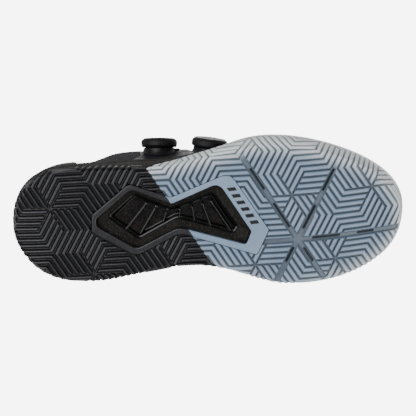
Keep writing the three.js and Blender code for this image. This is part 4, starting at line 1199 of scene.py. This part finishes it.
def build_base(place):
    """The dial's housing: a drum that flares to meet the shoe's side all round."""
    turn = 2 * math.pi * np.arange(96) / 96

    def ring(radius, z):
        return placed(place, np.stack([radius * np.cos(turn), radius * np.sin(turn), z + 0 * turn], -1))

    def foot(radius, grow):
        """The heights over the seat at which a ring of this radius meets the upper."""
        def clear(z):
            p = ring(radius, z)
            return upper_point(p[:, 0], angle_at(p[:, 0], p[:, 2], grow), grow)[:, 1] - p[:, 1]

        return solve(clear, -9.0, 4.0)

    rings = [ring(r, z) for r, z in [
        (2.0, 3.45), (9.0, 3.45), (9.1, 3.8), (10.7, 3.8), (10.9, 3.3), (11.9, 3.2), (12.2, 2.9),
        (12.3, 2.2)]]
    ground = foot(13.9, 0.35)
    rings += [ring(12.3 + 1.6 * k ** 2, mix(2.2, ground + 0.15, k)) for k in (0.25, 0.5, 0.75, 0.9, 1.0)]
    rings += [ring(13.8, foot(13.8, 0.2)), ring(9.0, foot(9.0, 0.0))]
    return make(f"dial_{place}_housing", np.vstack(rings), strip(len(rings), len(turn), True))


def build_ear(place):
    """The small release ear beside a dial's housing."""
    work = bmesh.new()
    bmesh.ops.create_cube(work, size=1)
    bmesh.ops.subdivide_edges(work, edges=work.edges, cuts=6, use_grid_fill=True)
    points = np.array([v.co for v in work.verts]) * 2
    faces = np.array([[v.index for v in f.verts] for f in work.faces])
    work.free()
    norm = (np.abs(points) ** 4).sum(1) ** 0.25
    points = points / norm[:, None] * np.array([2.6, 2.3, 1.1]) + np.array([13.6, 0, 1.7])
    return make(f"dial_{place}_ear", placed(place, points), faces)


# The turned parts' sections: (radius, z, corner radius) round each.
KNOB_SECTION = [
    (10.95, 3.55, 0.2), (12.7, 3.55, 0.3), (12.7, 9.9, 0.5), (11.7, 10.75, 0.5), (10, 10.9, 0.5),
    (8, 10.9, 0.3), (8, 9.9, 0.2), (0.02, 9.9, 0.0), (0.02, 8.7, 0.0), (3.2, 8.7, 0.2), (3.2, 6.5, 0.1),
    (10.95, 6.5, 0.2)]
GRIP_SECTION = [
    (12.6, 3.6, 0.2), (13.3, 3.6, 0.8), (14.2, 5.2, 1.3), (14.2, 8.0, 1.3), (13.2, 9.9, 0.9),
    (12.6, 9.9, 0.2)]
CAP_SECTION = [
    (0.02, 10.2, 0), (7.6, 10.2, 0.1), (7.6, 10.85, 0.25), (7.1, 11.1, 0.3), (5.3, 11.1, 0.2),
    (5.0, 10.75, 0.1), (2.0, 10.75, 0.3), (1.6, 10.9, 0.2), (0.02, 10.9, 0)]
RIBS, RIB_DEPTH = 45, 0.05


def ribs(turn, radius, height):
    """Cuts shallow grooves in the grip ring's outer face."""
    fade = smooth(4.4, 5.4, height) * (1 - smooth(8.4, 9.3, height))
    return radius + np.where(radius > 13, RIB_DEPTH * (np.cos(RIBS * turn) - 1) * fade, 0)


def build_dial(place):
    """A dial's outer pieces by the ends of their nodes' names."""
    knob = f"{place}_knob"
    return {
        "knob": turned(f"dial_{place}_knob_body", place, KNOB_SECTION, knob),
        "grip_ring": turned(f"dial_{place}_grip", place, GRIP_SECTION, knob, 12 * RIBS, 0.3, ribs),
        "cap": turned(f"dial_{place}_cap_disc", place, CAP_SECTION, knob),
        "base": build_base(place)}


# ---------------------------------------------------------------- lace cables and guides
LACE_LIFT, LACE_DIP = SEAT + 1.1, 3.2  # the cable's height over the upper's form, its dip over the throat
GUIDE_OUT, TURN_OUT = 7, 7.5  # how far out from the throat the guides and the cable's turns lie
TURN_HALF = 3.2  # half the width of a turn
PORT_X, CABLE_Z = 6.6, 2.2  # where the cable leaves a dial's housing
# Each cable's first x on the eyestay, its turns, and its last x.
LACES = {
    "front": (53, [("medial", 46), ("lateral", 40), ("medial", 32)], 25),
    "rear": (7, [("medial", 0), ("lateral", -7), ("medial", -14)], -22)}


def eyestay_angle(x, side, out):
    """The angle round the section at a distance out from the throat's edge."""
    return solve(lambda a: upper_point(x, a, SEAT)[..., 1] - throat_y(x, side, out), 0.0, math.pi)


def lace_point(x, side, out):
    return upper_point(x, eyestay_angle(x, side, out), LACE_LIFT)


def crossing(from_x, to_x, start, end):
    """Points of a cable's run over the throat, from one side to the other."""
    a, b = eyestay_angle(from_x, start, 2), eyestay_angle(to_x, end, 2)
    return [upper_point(mix(from_x, to_x, t), mix(a, b, t), LACE_LIFT - LACE_DIP * math.sin(math.pi * t))
            for t in (0, 0.25, 0.5, 0.75, 1)]


def lace_turn(x, side):
    return [lace_point(x + TURN_HALF * k, side, TURN_OUT + out)
            for k, out in ((1, -2), (0.7, 1), (0, 2.2), (-0.7, 1), (-1, -2))]


def port(place, x):
    """Points of a cable's way out of a dial's housing."""
    return list(placed(place, [(x, y, z) for y, z in ((0.6, CABLE_Z), (7, CABLE_Z), (12.5, CABLE_Z),
                                                      (15.5, CABLE_Z - 0.2))]))


def lace_rise(start, x):
    """Points of a cable's way up the lateral side, from a dial to the eyestay at x."""
    a, b = angle_at(start[0], start[2], LACE_LIFT), eyestay_angle(x, "lateral", GUIDE_OUT)
    return [upper_point(mix(start[0], x, t), mix(a, b, t), LACE_LIFT + (1 - t) * 1.2)
            for t in (0.3, 0.55, 0.8)]


def lace_route(place):
    """A cable's whole path, from its dial over the throat and back."""
    entry, turns, last = LACES[place]
    out, back = port(place, PORT_X), port(place, -PORT_X)
    path = [*out, *lace_rise(out[-1], entry), lace_point(entry, "lateral", GUIDE_OUT)]
    x, side = entry, "lateral"
    for next_side, next_x in turns:
        path += crossing(x, next_x + TURN_HALF, side, next_side) + lace_turn(next_x, next_side)
        x, side = next_x - TURN_HALF, next_side
    path += crossing(x, last, side, "lateral") + [lace_point(last, "lateral", GUIDE_OUT)]
    return np.array(path + lace_rise(back[-1], last)[::-1] + back[::-1])


def centripetal(points, steps):
    """A centripetal Catmull-Rom curve, the same as the CAD cable's middle line."""
    p = np.vstack([2 * points[0] - points[1], points, 2 * points[-1] - points[-2]])
    out = []
    for i in range(1, len(p) - 2):
        a, b, c, d = p[i - 1:i + 3]
        dt = [max(float(np.dot(v - u, v - u)) ** 0.25, 1e-4) for u, v in ((a, b), (b, c), (c, d))]
        m1 = ((b - a) / dt[0] - (c - a) / (dt[0] + dt[1]) + (c - b) / dt[1]) * dt[1]
        m2 = ((c - b) / dt[1] - (d - b) / (dt[1] + dt[2]) + (d - c) / dt[2]) * dt[1]
        for t in np.arange(steps) / steps:
            out.append((2 * t ** 3 - 3 * t * t + 1) * b + (t ** 3 - 2 * t * t + t) * m1
                       + (3 * t * t - 2 * t ** 3) * c + (t ** 3 - t * t) * m2)
    out.append(points[-1])
    return np.array(out)


def tube(name, path, radius):
    """A round cable along a path, without twist."""
    sides = 10
    path = resample(path, 0.9, closed=False)
    way = np.gradient(path, axis=0)
    way /= np.linalg.norm(way, axis=1)[:, None]
    side = np.cross(way[0], (0, 0, 1.0))
    turn = 2 * math.pi * np.arange(sides) / sides
    verts = []
    for p, w in zip(path, way):
        side = side - w * np.dot(side, w)
        side /= np.linalg.norm(side)
        up = np.cross(w, side)
        verts.append(p + radius * (np.cos(turn)[:, None] * side + np.sin(turn)[:, None] * up))
    return make(name, np.vstack(verts), strip(len(path), sides))


GUIDE_SHAPE = [
    (-0.25, 1.02), (0.1, 1.03), (1.2, 1.0), (2.6, 0.98), (3.4, 0.93), (3.9, 0.8), (4.12, 0.6), (4.2, 0.3),
    (4.22, 0.01)]  # heights of a guide's rings, and their sizes
GUIDE_HALF_WIDTH, SECTION_RADIUS = 5.6, 34  # the latter turns millimetres round the section into an angle


def build_guide(place, label, x, side, half_length):
    """A low smooth block on the eyestay that the cable turns or passes through."""
    angle = eyestay_angle(x, side, GUIDE_OUT)
    around = 2 * math.pi * np.arange(56) / 56
    cos, sin = np.cos(around), np.sin(around)
    verts = []
    for lift, size in GUIDE_SHAPE:
        across = np.sign(sin) * np.abs(sin) ** 0.6 * GUIDE_HALF_WIDTH * size
        along = np.sign(cos) * np.abs(cos) ** 0.6 * half_length * size
        channel = 0.55 * np.exp(-(across / 2.4) ** 2) * smooth(3.0, 4.2, lift)
        verts.append(upper_point(x + along, angle + across / SECTION_RADIUS, SEAT + lift - channel - 0.4))
    return make(f"lace_guide_{place}_{label}", np.vstack(verts), strip(len(GUIDE_SHAPE), len(around)))


# ---------------------------------------------------------------- materials
def node(tree, kind, inputs=(), **settings):
    """Adds a node; inputs are (name or index, socket or value) pairs."""
    made = tree.nodes.new("ShaderNode" + kind)
    for key, value in settings.items():
        setattr(made, key, value)
    for key, value in inputs:
        if isinstance(value, bpy.types.NodeSocket):
            tree.links.new(value, made.inputs[key])
        else:
            made.inputs[key].default_value = value
    return made


def where(tree):
    """The place on the object, for textures."""
    return node(tree, "TexCoord").outputs["Object"]


def noise(tree, scale, detail=3.0, rough=0.55, vector=None):
    return node(tree, "TexNoise", [("Vector", vector or where(tree)), ("Scale", scale), ("Detail", detail),
                                   ("Roughness", rough)]).outputs["Fac"]


def cells(tree, scale):
    return node(tree, "TexVoronoi", [("Vector", where(tree)), ("Scale", scale)]).outputs["Distance"]


def bands(tree, scale, direction, distortion=0.0):
    return node(tree, "TexWave", [("Vector", where(tree)), ("Scale", scale), ("Distortion", distortion)],
                bands_direction=direction).outputs["Fac"]


def ranged(tree, value, low, high, first=0.0, last=1.0):
    """A value between low and high turned smoothly into one between first and last."""
    inputs = [("Value", value), ("From Min", low), ("From Max", high), ("To Min", first), ("To Max", last)]
    return node(tree, "MapRange", inputs, interpolation_type="SMOOTHSTEP").outputs["Result"]


def math_of(tree, operation, a, b=0.0):
    return node(tree, "Math", [(0, a), (1, b)], operation=operation).outputs[0]


def blend_of(tree, factor, a, b):
    """One colour turning into another."""
    made = node(tree, "Mix", data_type="RGBA")
    tree.links.new(factor, made.inputs[0])
    for key, value in ((6, a), (7, b)):
        if isinstance(value, bpy.types.NodeSocket):
            tree.links.new(value, made.inputs[key])
        else:
            made.inputs[key].default_value = (*value, 1)
    return made.outputs[2]


def bumped(tree, height, distance, strength):
    made = node(tree, "Bump", [("Height", height), ("Distance", distance), ("Strength", strength)])
    return made.outputs["Normal"]


def point_value(tree, name):
    return node(tree, "Attribute", attribute_name=name).outputs["Fac"]


def look(name, **values):
    """A material with uniform values set on its shader; also gives its node tree and a way to link inputs."""
    mat = bpy.data.materials.new(name)
    mat.use_nodes = True
    shader = mat.node_tree.nodes["Principled BSDF"]
    for key, value in values.items():
        shader.inputs[key.replace("_", " ")].default_value = value

    def give(**links):
        for key, socket in links.items():
            mat.node_tree.links.new(socket, shader.inputs[key.replace("_", " ")])

    return mat, mat.node_tree, give


def rubber_black():
    mat, tree, give = look("rubber_black", Coat_Weight=0.35, Coat_Roughness=0.24, Specular_IOR_Level=0.5)
    # Painted shade: deep follows each point's depth in the grooves, and the base colour darkens there to near
    # black, standing in for the shade that falls in the grooves.
    deep = ranged(tree, point_value(tree, "depth"), 0.25, 2.0)
    worn = ranged(tree, noise(tree, 55, 5, 0.6), 0.42, 0.7)
    top = blend_of(tree, worn, (0.0085, 0.0085, 0.0115), (0.016, 0.016, 0.021))
    give(Base_Color=blend_of(tree, deep, top, (0.0022, 0.0022, 0.0028)),
         Roughness=ranged(tree, noise(tree, 380, 4, 0.6), 0.3, 0.7, 0.34, 0.5),
         Normal=bumped(tree, noise(tree, 1600, 3, 0.6), 0.00012, 0.5))
    return mat


def rubber_clear():
    mat, tree, give = look("rubber_clear", Coat_Weight=0.12, Coat_Roughness=0.25, Subsurface_Weight=0.03,
                           Subsurface_Radius=(0.002, 0.0025, 0.003), Subsurface_Scale=0.5)
    # Painted shade: deep follows each point's depth in the grooves, weaker in the flex grooves, and turns the
    # base colour to the darker groove colour, which is paler where the rubber is milky; it stands in for the
    # shade that falls in the grooves.
    deep = ranged(tree, point_value(tree, "depth"), 0.3, 1.9)
    deep = math_of(tree, "MULTIPLY", deep, ranged(tree, point_value(tree, "flex"), 0.5, 1.0, 1.0, 0.5))
    milk = point_value(tree, "milk")
    cloud = ranged(tree, noise(tree, 26, 4, 0.6), 0.35, 0.7)
    top = blend_of(tree, cloud, (0.23, 0.315, 0.44), (0.275, 0.37, 0.50))
    top = blend_of(tree, milk, top, (0.88, 0.92, 0.94))
    groove = blend_of(tree, milk, (0.075, 0.098, 0.122), (0.28, 0.33, 0.36))
    color = blend_of(tree, deep, top, groove)
    # Painted shade: the flex grooves' channels are darkened to a dark blue grey, standing in for the shade
    # that falls in them.
    channel = ranged(tree, point_value(tree, "flex"), 0.1, 0.9, 0, 0.8)
    color = blend_of(tree, channel, color, (0.10, 0.13, 0.165))
    color = blend_of(tree, point_value(tree, "slot"), color, (0.012, 0.013, 0.015))
    color = blend_of(tree, point_value(tree, "mark"), color, (0.008, 0.009, 0.011))
    give(Base_Color=color, Roughness=ranged(tree, noise(tree, 300, 4, 0.6), 0.3, 0.7, 0.28, 0.42),
         Normal=bumped(tree, noise(tree, 1400, 3, 0.6), 0.0001, 0.35))
    return mat


def foam():
    mat, tree, give = look("speckled_foam", Specular_IOR_Level=0.2)
    grain = noise(tree, 900, 3, 0.7)
    patch = ranged(tree, noise(tree, 60, 3), 0.35, 0.65)
    base = blend_of(tree, patch, (0.0075, 0.0074, 0.0066), (0.013, 0.0125, 0.011))
    color = blend_of(tree, ranged(tree, grain, 0.52, 0.68), base, (0.062, 0.058, 0.048))
    dark = ranged(tree, noise(tree, 700, 2, 0.5), 0.36, 0.3)
    color = blend_of(tree, dark, color, (0.003, 0.003, 0.003))
    give(Base_Color=color, Roughness=ranged(tree, grain, 0.3, 0.7, 0.62, 0.85),
         Normal=bumped(tree, cells(tree, 1300), 0.00022, 0.7))
    return mat


def shank_gloss():
    mat, tree, give = look("shank_gloss", Coat_Weight=0.25, Coat_Roughness=0.16, Specular_IOR_Level=0.4)
    amber = point_value(tree, "amber")
    patch = ranged(tree, noise(tree, 70, 3, 0.6), 0.35, 0.65)
    glow = blend_of(tree, patch, (0.034, 0.010, 0.004), (0.007, 0.006, 0.004))
    give(Base_Color=blend_of(tree, amber, (0.003, 0.003, 0.0035), glow),
         Roughness=ranged(tree, noise(tree, 500, 3), 0.3, 0.7, 0.18, 0.34),
         Normal=bumped(tree, noise(tree, 1200, 2), 0.00008, 0.4))
    return mat


def knit():
    mat, tree, give = look("upper_knit", Sheen_Weight=0.04, Sheen_Roughness=0.5, Specular_IOR_Level=0.14)
    holes = cells(tree, 520)
    yarn = cells(tree, 1500)
    shade = ranged(tree, noise(tree, 30, 3), 0.35, 0.65)
    color = blend_of(tree, shade, (0.0085, 0.008, 0.0115), (0.015, 0.0145, 0.0195))
    color = blend_of(tree, ranged(tree, holes, 0.30, 0.12), color, (0.003, 0.003, 0.004))
    color = blend_of(tree, ranged(tree, yarn, 0.35, 0.7), color, (0.032, 0.032, 0.040))
    raised = math_of(tree, "MULTIPLY", yarn, -0.5)
    height = math_of(tree, "ADD", math_of(tree, "MULTIPLY", holes, 1.4), raised)
    give(Base_Color=color, Roughness=ranged(tree, yarn, 0.1, 0.7, 0.7, 0.92),
         Normal=bumped(tree, height, 0.0004, 0.8))
    return mat


def lining_cloth():
    mat, tree, give = look("lining_cloth", Sheen_Weight=0.12, Sheen_Roughness=0.6, Specular_IOR_Level=0.2)
    yarn = cells(tree, 1100)
    rib = bands(tree, 240, "DIAGONAL", 0.6)
    color = blend_of(tree, ranged(tree, yarn, 0.2, 0.65), (0.013, 0.013, 0.016), (0.036, 0.036, 0.042))
    color = blend_of(tree, ranged(tree, noise(tree, 22, 3), 0.4, 0.7, 0, 0.35), color, (0.05, 0.05, 0.058))
    height = math_of(tree, "ADD", yarn, math_of(tree, "MULTIPLY", rib, 0.4))
    give(Base_Color=color, Roughness=ranged(tree, yarn, 0.1, 0.7, 0.78, 0.95),
         Normal=bumped(tree, height, 0.00035, 0.8))
    return mat


def film_gloss():
    mat, tree, give = look("fused_film", Specular_IOR_Level=0.2)
    grain = cells(tree, 1900)
    shade = ranged(tree, noise(tree, 40, 4, 0.6), 0.35, 0.7)
    give(Base_Color=blend_of(tree, shade, (0.007, 0.007, 0.009), (0.014, 0.014, 0.017)),
         Roughness=ranged(tree, noise(tree, 260, 4), 0.3, 0.7, 0.36, 0.55),
         Normal=bumped(tree, grain, 0.00012, 0.45))
    return mat


def webbing():
    mat, tree, give = look("webbing_black", Sheen_Weight=0.3, Specular_IOR_Level=0.3)
    weft, warp = bands(tree, 190, "Y"), bands(tree, 420, "Z", 0.4)
    weave = math_of(tree, "MULTIPLY", weft, warp)
    give(Base_Color=blend_of(tree, weave, (0.010, 0.010, 0.012), (0.045, 0.045, 0.052)),
         Roughness=ranged(tree, weave, 0, 1, 0.9, 0.65), Normal=bumped(tree, weave, 0.0004, 0.9))
    return mat


def thread():
    mat, tree, give = look("stitch_thread", Sheen_Weight=0.3)
    twist = bands(tree, 900, "DIAGONAL", 0.3)
    give(Base_Color=blend_of(tree, twist, (0.028, 0.028, 0.034), (0.085, 0.085, 0.098)),
         Roughness=ranged(tree, twist, 0, 1, 0.75, 0.5), Normal=bumped(tree, twist, 0.0001, 0.7))
    return mat


def cable():
    mat, tree, give = look("cable_braid", Specular_IOR_Level=0.5)
    braid = math_of(tree, "MULTIPLY", bands(tree, 520, "DIAGONAL"), bands(tree, 700, "X", 0.2))
    give(Base_Color=blend_of(tree, braid, (0.010, 0.010, 0.012), (0.055, 0.055, 0.062)),
         Roughness=ranged(tree, braid, 0, 1, 0.55, 0.32), Normal=bumped(tree, braid, 0.00015, 0.7))
    return mat


def plastic(name, low, high, rough, grain=1500, depth=0.00008):
    mat, tree, give = look(name, Specular_IOR_Level=0.28)
    shade = ranged(tree, noise(tree, 45, 4, 0.6), 0.35, 0.7)
    give(Base_Color=blend_of(tree, shade, low, high),
         Roughness=ranged(tree, noise(tree, 420, 4), 0.3, 0.7, rough - 0.07, rough + 0.09),
         Normal=bumped(tree, noise(tree, grain, 3), depth, 0.5))
    return mat


def steel():
    mat, tree, give = look("brushed_steel", Metallic=1.0)
    lines = node(tree, "Mapping", [("Vector", where(tree)), ("Scale", (60, 60, 2400))]).outputs[0]
    brush = noise(tree, 1.0, 4, 0.6, vector=lines)
    give(Base_Color=blend_of(tree, brush, (0.32, 0.33, 0.35), (0.55, 0.56, 0.58)),
         Roughness=ranged(tree, brush, 0.3, 0.7, 0.22, 0.42), Normal=bumped(tree, brush, 0.00004, 0.5))
    return mat


def fibre_board():
    mat, tree, give = look("fibre_board", Specular_IOR_Level=0.2)
    fibre = noise(tree, 900, 5, 0.75)
    give(Base_Color=blend_of(tree, fibre, (0.20, 0.185, 0.15), (0.36, 0.34, 0.29)),
         Roughness=ranged(tree, fibre, 0.3, 0.7, 0.8, 0.95), Normal=bumped(tree, fibre, 0.0002, 0.6))
    return mat


# ---------------------------------------------------------------- everything put together
def finish(obj, material, nodes=()):
    """Gives a piece its material, and hides the CAD nodes it stands for."""
    obj.data.materials.clear()
    obj.data.materials.append(material)
    if nodes:
        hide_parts(*nodes)
    return obj


BLACK_RUBBER, CLEAR_RUBBER, FOAM, SHANK = rubber_black(), rubber_clear(), foam(), shank_gloss()
KNIT, CLOTH, FILM_LOOK, WEBBING, THREAD, CABLE = (
    knit(), lining_cloth(), film_gloss(), webbing(), thread(), cable())
DIAL = plastic("dial_satin", (0.0055, 0.0055, 0.007), (0.010, 0.010, 0.0125), 0.34)
GRIP = plastic("grip_soft", (0.006, 0.006, 0.0075), (0.011, 0.011, 0.0135), 0.48, 1100, 0.00015)
GUIDE = plastic("guide_satin", (0.008, 0.008, 0.010), (0.014, 0.014, 0.017), 0.4)
SPOOL = plastic("spool_nylon", (0.10, 0.10, 0.11), (0.15, 0.15, 0.16), 0.5)
STEEL, BOARD = steel(), fibre_board()

tread = build_tread()
finish(finish_tread("tread_heel", tread["tread_heel"]), BLACK_RUBBER, ["outsole_heel"])
forefoot = finish_tread("tread_forefoot", tread["tread_forefoot"])
finish(forefoot, CLEAR_RUBBER, ["outsole_forefoot"])
rim_heel, rim_forefoot = build_rim()
finish(rim_heel, BLACK_RUBBER)
finish(rim_forefoot, CLEAR_RUBBER)
finish(build_bevel(), FOAM)
finish(build_shank(), SHANK, ["shank_plate"])
for obj in build_bars():
    finish(obj, SHANK)
finish(build_midsole(), FOAM, ["midsole"])

for piece, obj in build_upper().items():
    shell = piece == "upper_shell"
    finish(obj, KNIT if shell else FILM_LOOK, [piece])
finish(build_lining(), CLOTH, ["collar_lining"])
finish(build_tongue(), CLOTH, ["tongue"])
finish(build_sockliner(), CLOTH, ["sockliner"])
finish(build_pull_tab(), WEBBING, ["pull_tab"])
for obj in build_stitches():
    finish(obj, THREAD)

for place in DIALS:
    for piece, obj in build_dial(place).items():
        mat, slot = (GRIP, "grip_rubber") if piece == "grip_ring" else (DIAL, "dial_plastic")
        finish(obj, mat, [f"dial_{place}_{piece}"])
    finish(build_ear(place), DIAL)
    lace = tube(f"lace_{place}", centripetal(lace_route(place), 12), 0.55)
    finish(lace, CABLE, [f"lace_cable_{place}"])
    entry, turns, last = LACES[place]
    spots = [(f"turn{i + 1}", side, x, 6.4) for i, (side, x) in enumerate(turns)]
    for label, side, x, half in [("entry", "lateral", entry, 4), *spots, ("exit", "lateral", last, 4)]:
        finish(build_guide(place, label, x, side, half), GUIDE, [f"guide_{place}_{label}"])
    for piece, mat in (("spool", SPOOL), ("ratchet_disc", SPOOL), ("screw", STEEL)):
        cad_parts[f"dial_{place}_{piece}"].material_slots[0].material = mat
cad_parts["strobel_board"].material_slots[0].material = BOARD
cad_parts["heel_counter"].material_slots[0].material = CLOTH

# ---------------------------------------------------------------- stage, light and camera
TILT = math.radians(15)
BACK = Vector((0, -math.sin(TILT), -math.cos(TILT)))  # from the shoe to the camera
VIEW_WIDTH, VIEW_DISTANCE = 0.32049, 2.6  # metres across the picture at the shoe, and to the camera
AIM_RIGHT, AIM_UP = 0.000193, 0.013328  # metres from the layout's origin to the picture's middle


def camera():
    """The view of the sole from below, with its middle where the picture's is."""
    data = bpy.data.cameras.new("camera")
    obj = placed_object("camera", data)
    right = Vector((1, 0, 0))
    up = BACK.cross(right)
    data.sensor_width = 36
    data.lens = data.sensor_width * VIEW_DISTANCE / VIEW_WIDTH
    data.clip_end = 20
    target = Vector(SHIFT / 1000) + right * AIM_RIGHT + up * AIM_UP
    turn = Matrix((right, up, BACK)).transposed().to_4x4()
    obj.matrix_world = Matrix.Translation(target + BACK * VIEW_DISTANCE) @ turn
    bpy.context.scene.camera = obj


def area(name, place, size, power):
    """A rectangular light aimed at the shoe's middle."""
    data = bpy.data.lights.new(name, "AREA")
    data.shape = "RECTANGLE"
    data.size, data.size_y = size
    data.energy = power
    obj = placed_object(name, data)
    obj.location = place
    obj.rotation_euler = (Vector((0, 0, 0.03)) - Vector(place)).to_track_quat("-Z", "Y").to_euler()


def floor():
    """A floor that is seen from above only, and that neither shades nor lights the shoe."""
    mesh = bpy.data.meshes.new("floor")
    mesh.from_pydata([(x, y, -0.0002) for x, y in ((-6, -6), (6, -6), (6, 6), (-6, 6))], [], [(0, 1, 2, 3)])
    mat, tree, _ = look("floor", Base_Color=(0.82, 0.82, 0.82, 1), Roughness=0.8)
    shown = node(tree, "MixShader", [
        (0, node(tree, "NewGeometry").outputs["Backfacing"]), (1, tree.nodes["Principled BSDF"].outputs[0]),
        (2, node(tree, "BsdfTransparent").outputs[0])])
    tree.links.new(shown.outputs[0], tree.nodes["Material Output"].inputs["Surface"])
    mesh.materials.append(mat)
    obj = placed_object("floor", mesh)
    obj.visible_shadow = obj.visible_diffuse = obj.visible_glossy = obj.visible_transmission = False


def studio():
    """A world whose light grows with height, and which the camera sees as a plain bright backdrop."""
    world = bpy.data.worlds.new("studio")
    bpy.context.scene.world = world
    world.use_nodes = True
    tree = world.node_tree
    height = node(tree, "SeparateXYZ", [(0, node(tree, "TexCoord").outputs["Generated"])]).outputs["Z"]
    fade = node(tree, "MapRange", [("Value", height), ("From Min", -0.5), ("From Max", 0.5), ("To Min", 0.12),
                                   ("To Max", 0.55)])
    light = tree.nodes["Background"]
    light.inputs["Color"].default_value = (1, 1, 1, 1)
    tree.links.new(fade.outputs["Result"], light.inputs["Strength"])
    seen = node(tree, "Background", [("Color", (1, 1, 1, 1)), ("Strength", 7)])
    shown = node(tree, "MixShader", [
        (0, node(tree, "LightPath").outputs["Is Camera Ray"]), (1, light.outputs[0]), (2, seen.outputs[0])])
    tree.links.new(shown.outputs[0], tree.nodes["World Output"].inputs["Surface"])


camera()
floor()
studio()
area("under_left", (-0.9, -0.5, -1.3), (2.2, 1.6), 34)
area("under_right", (1.0, 0.5, -1.1), (2.0, 1.6), 19)
area("above", (0.2, 0.1, 1.5), (1.6, 1.2), 10)
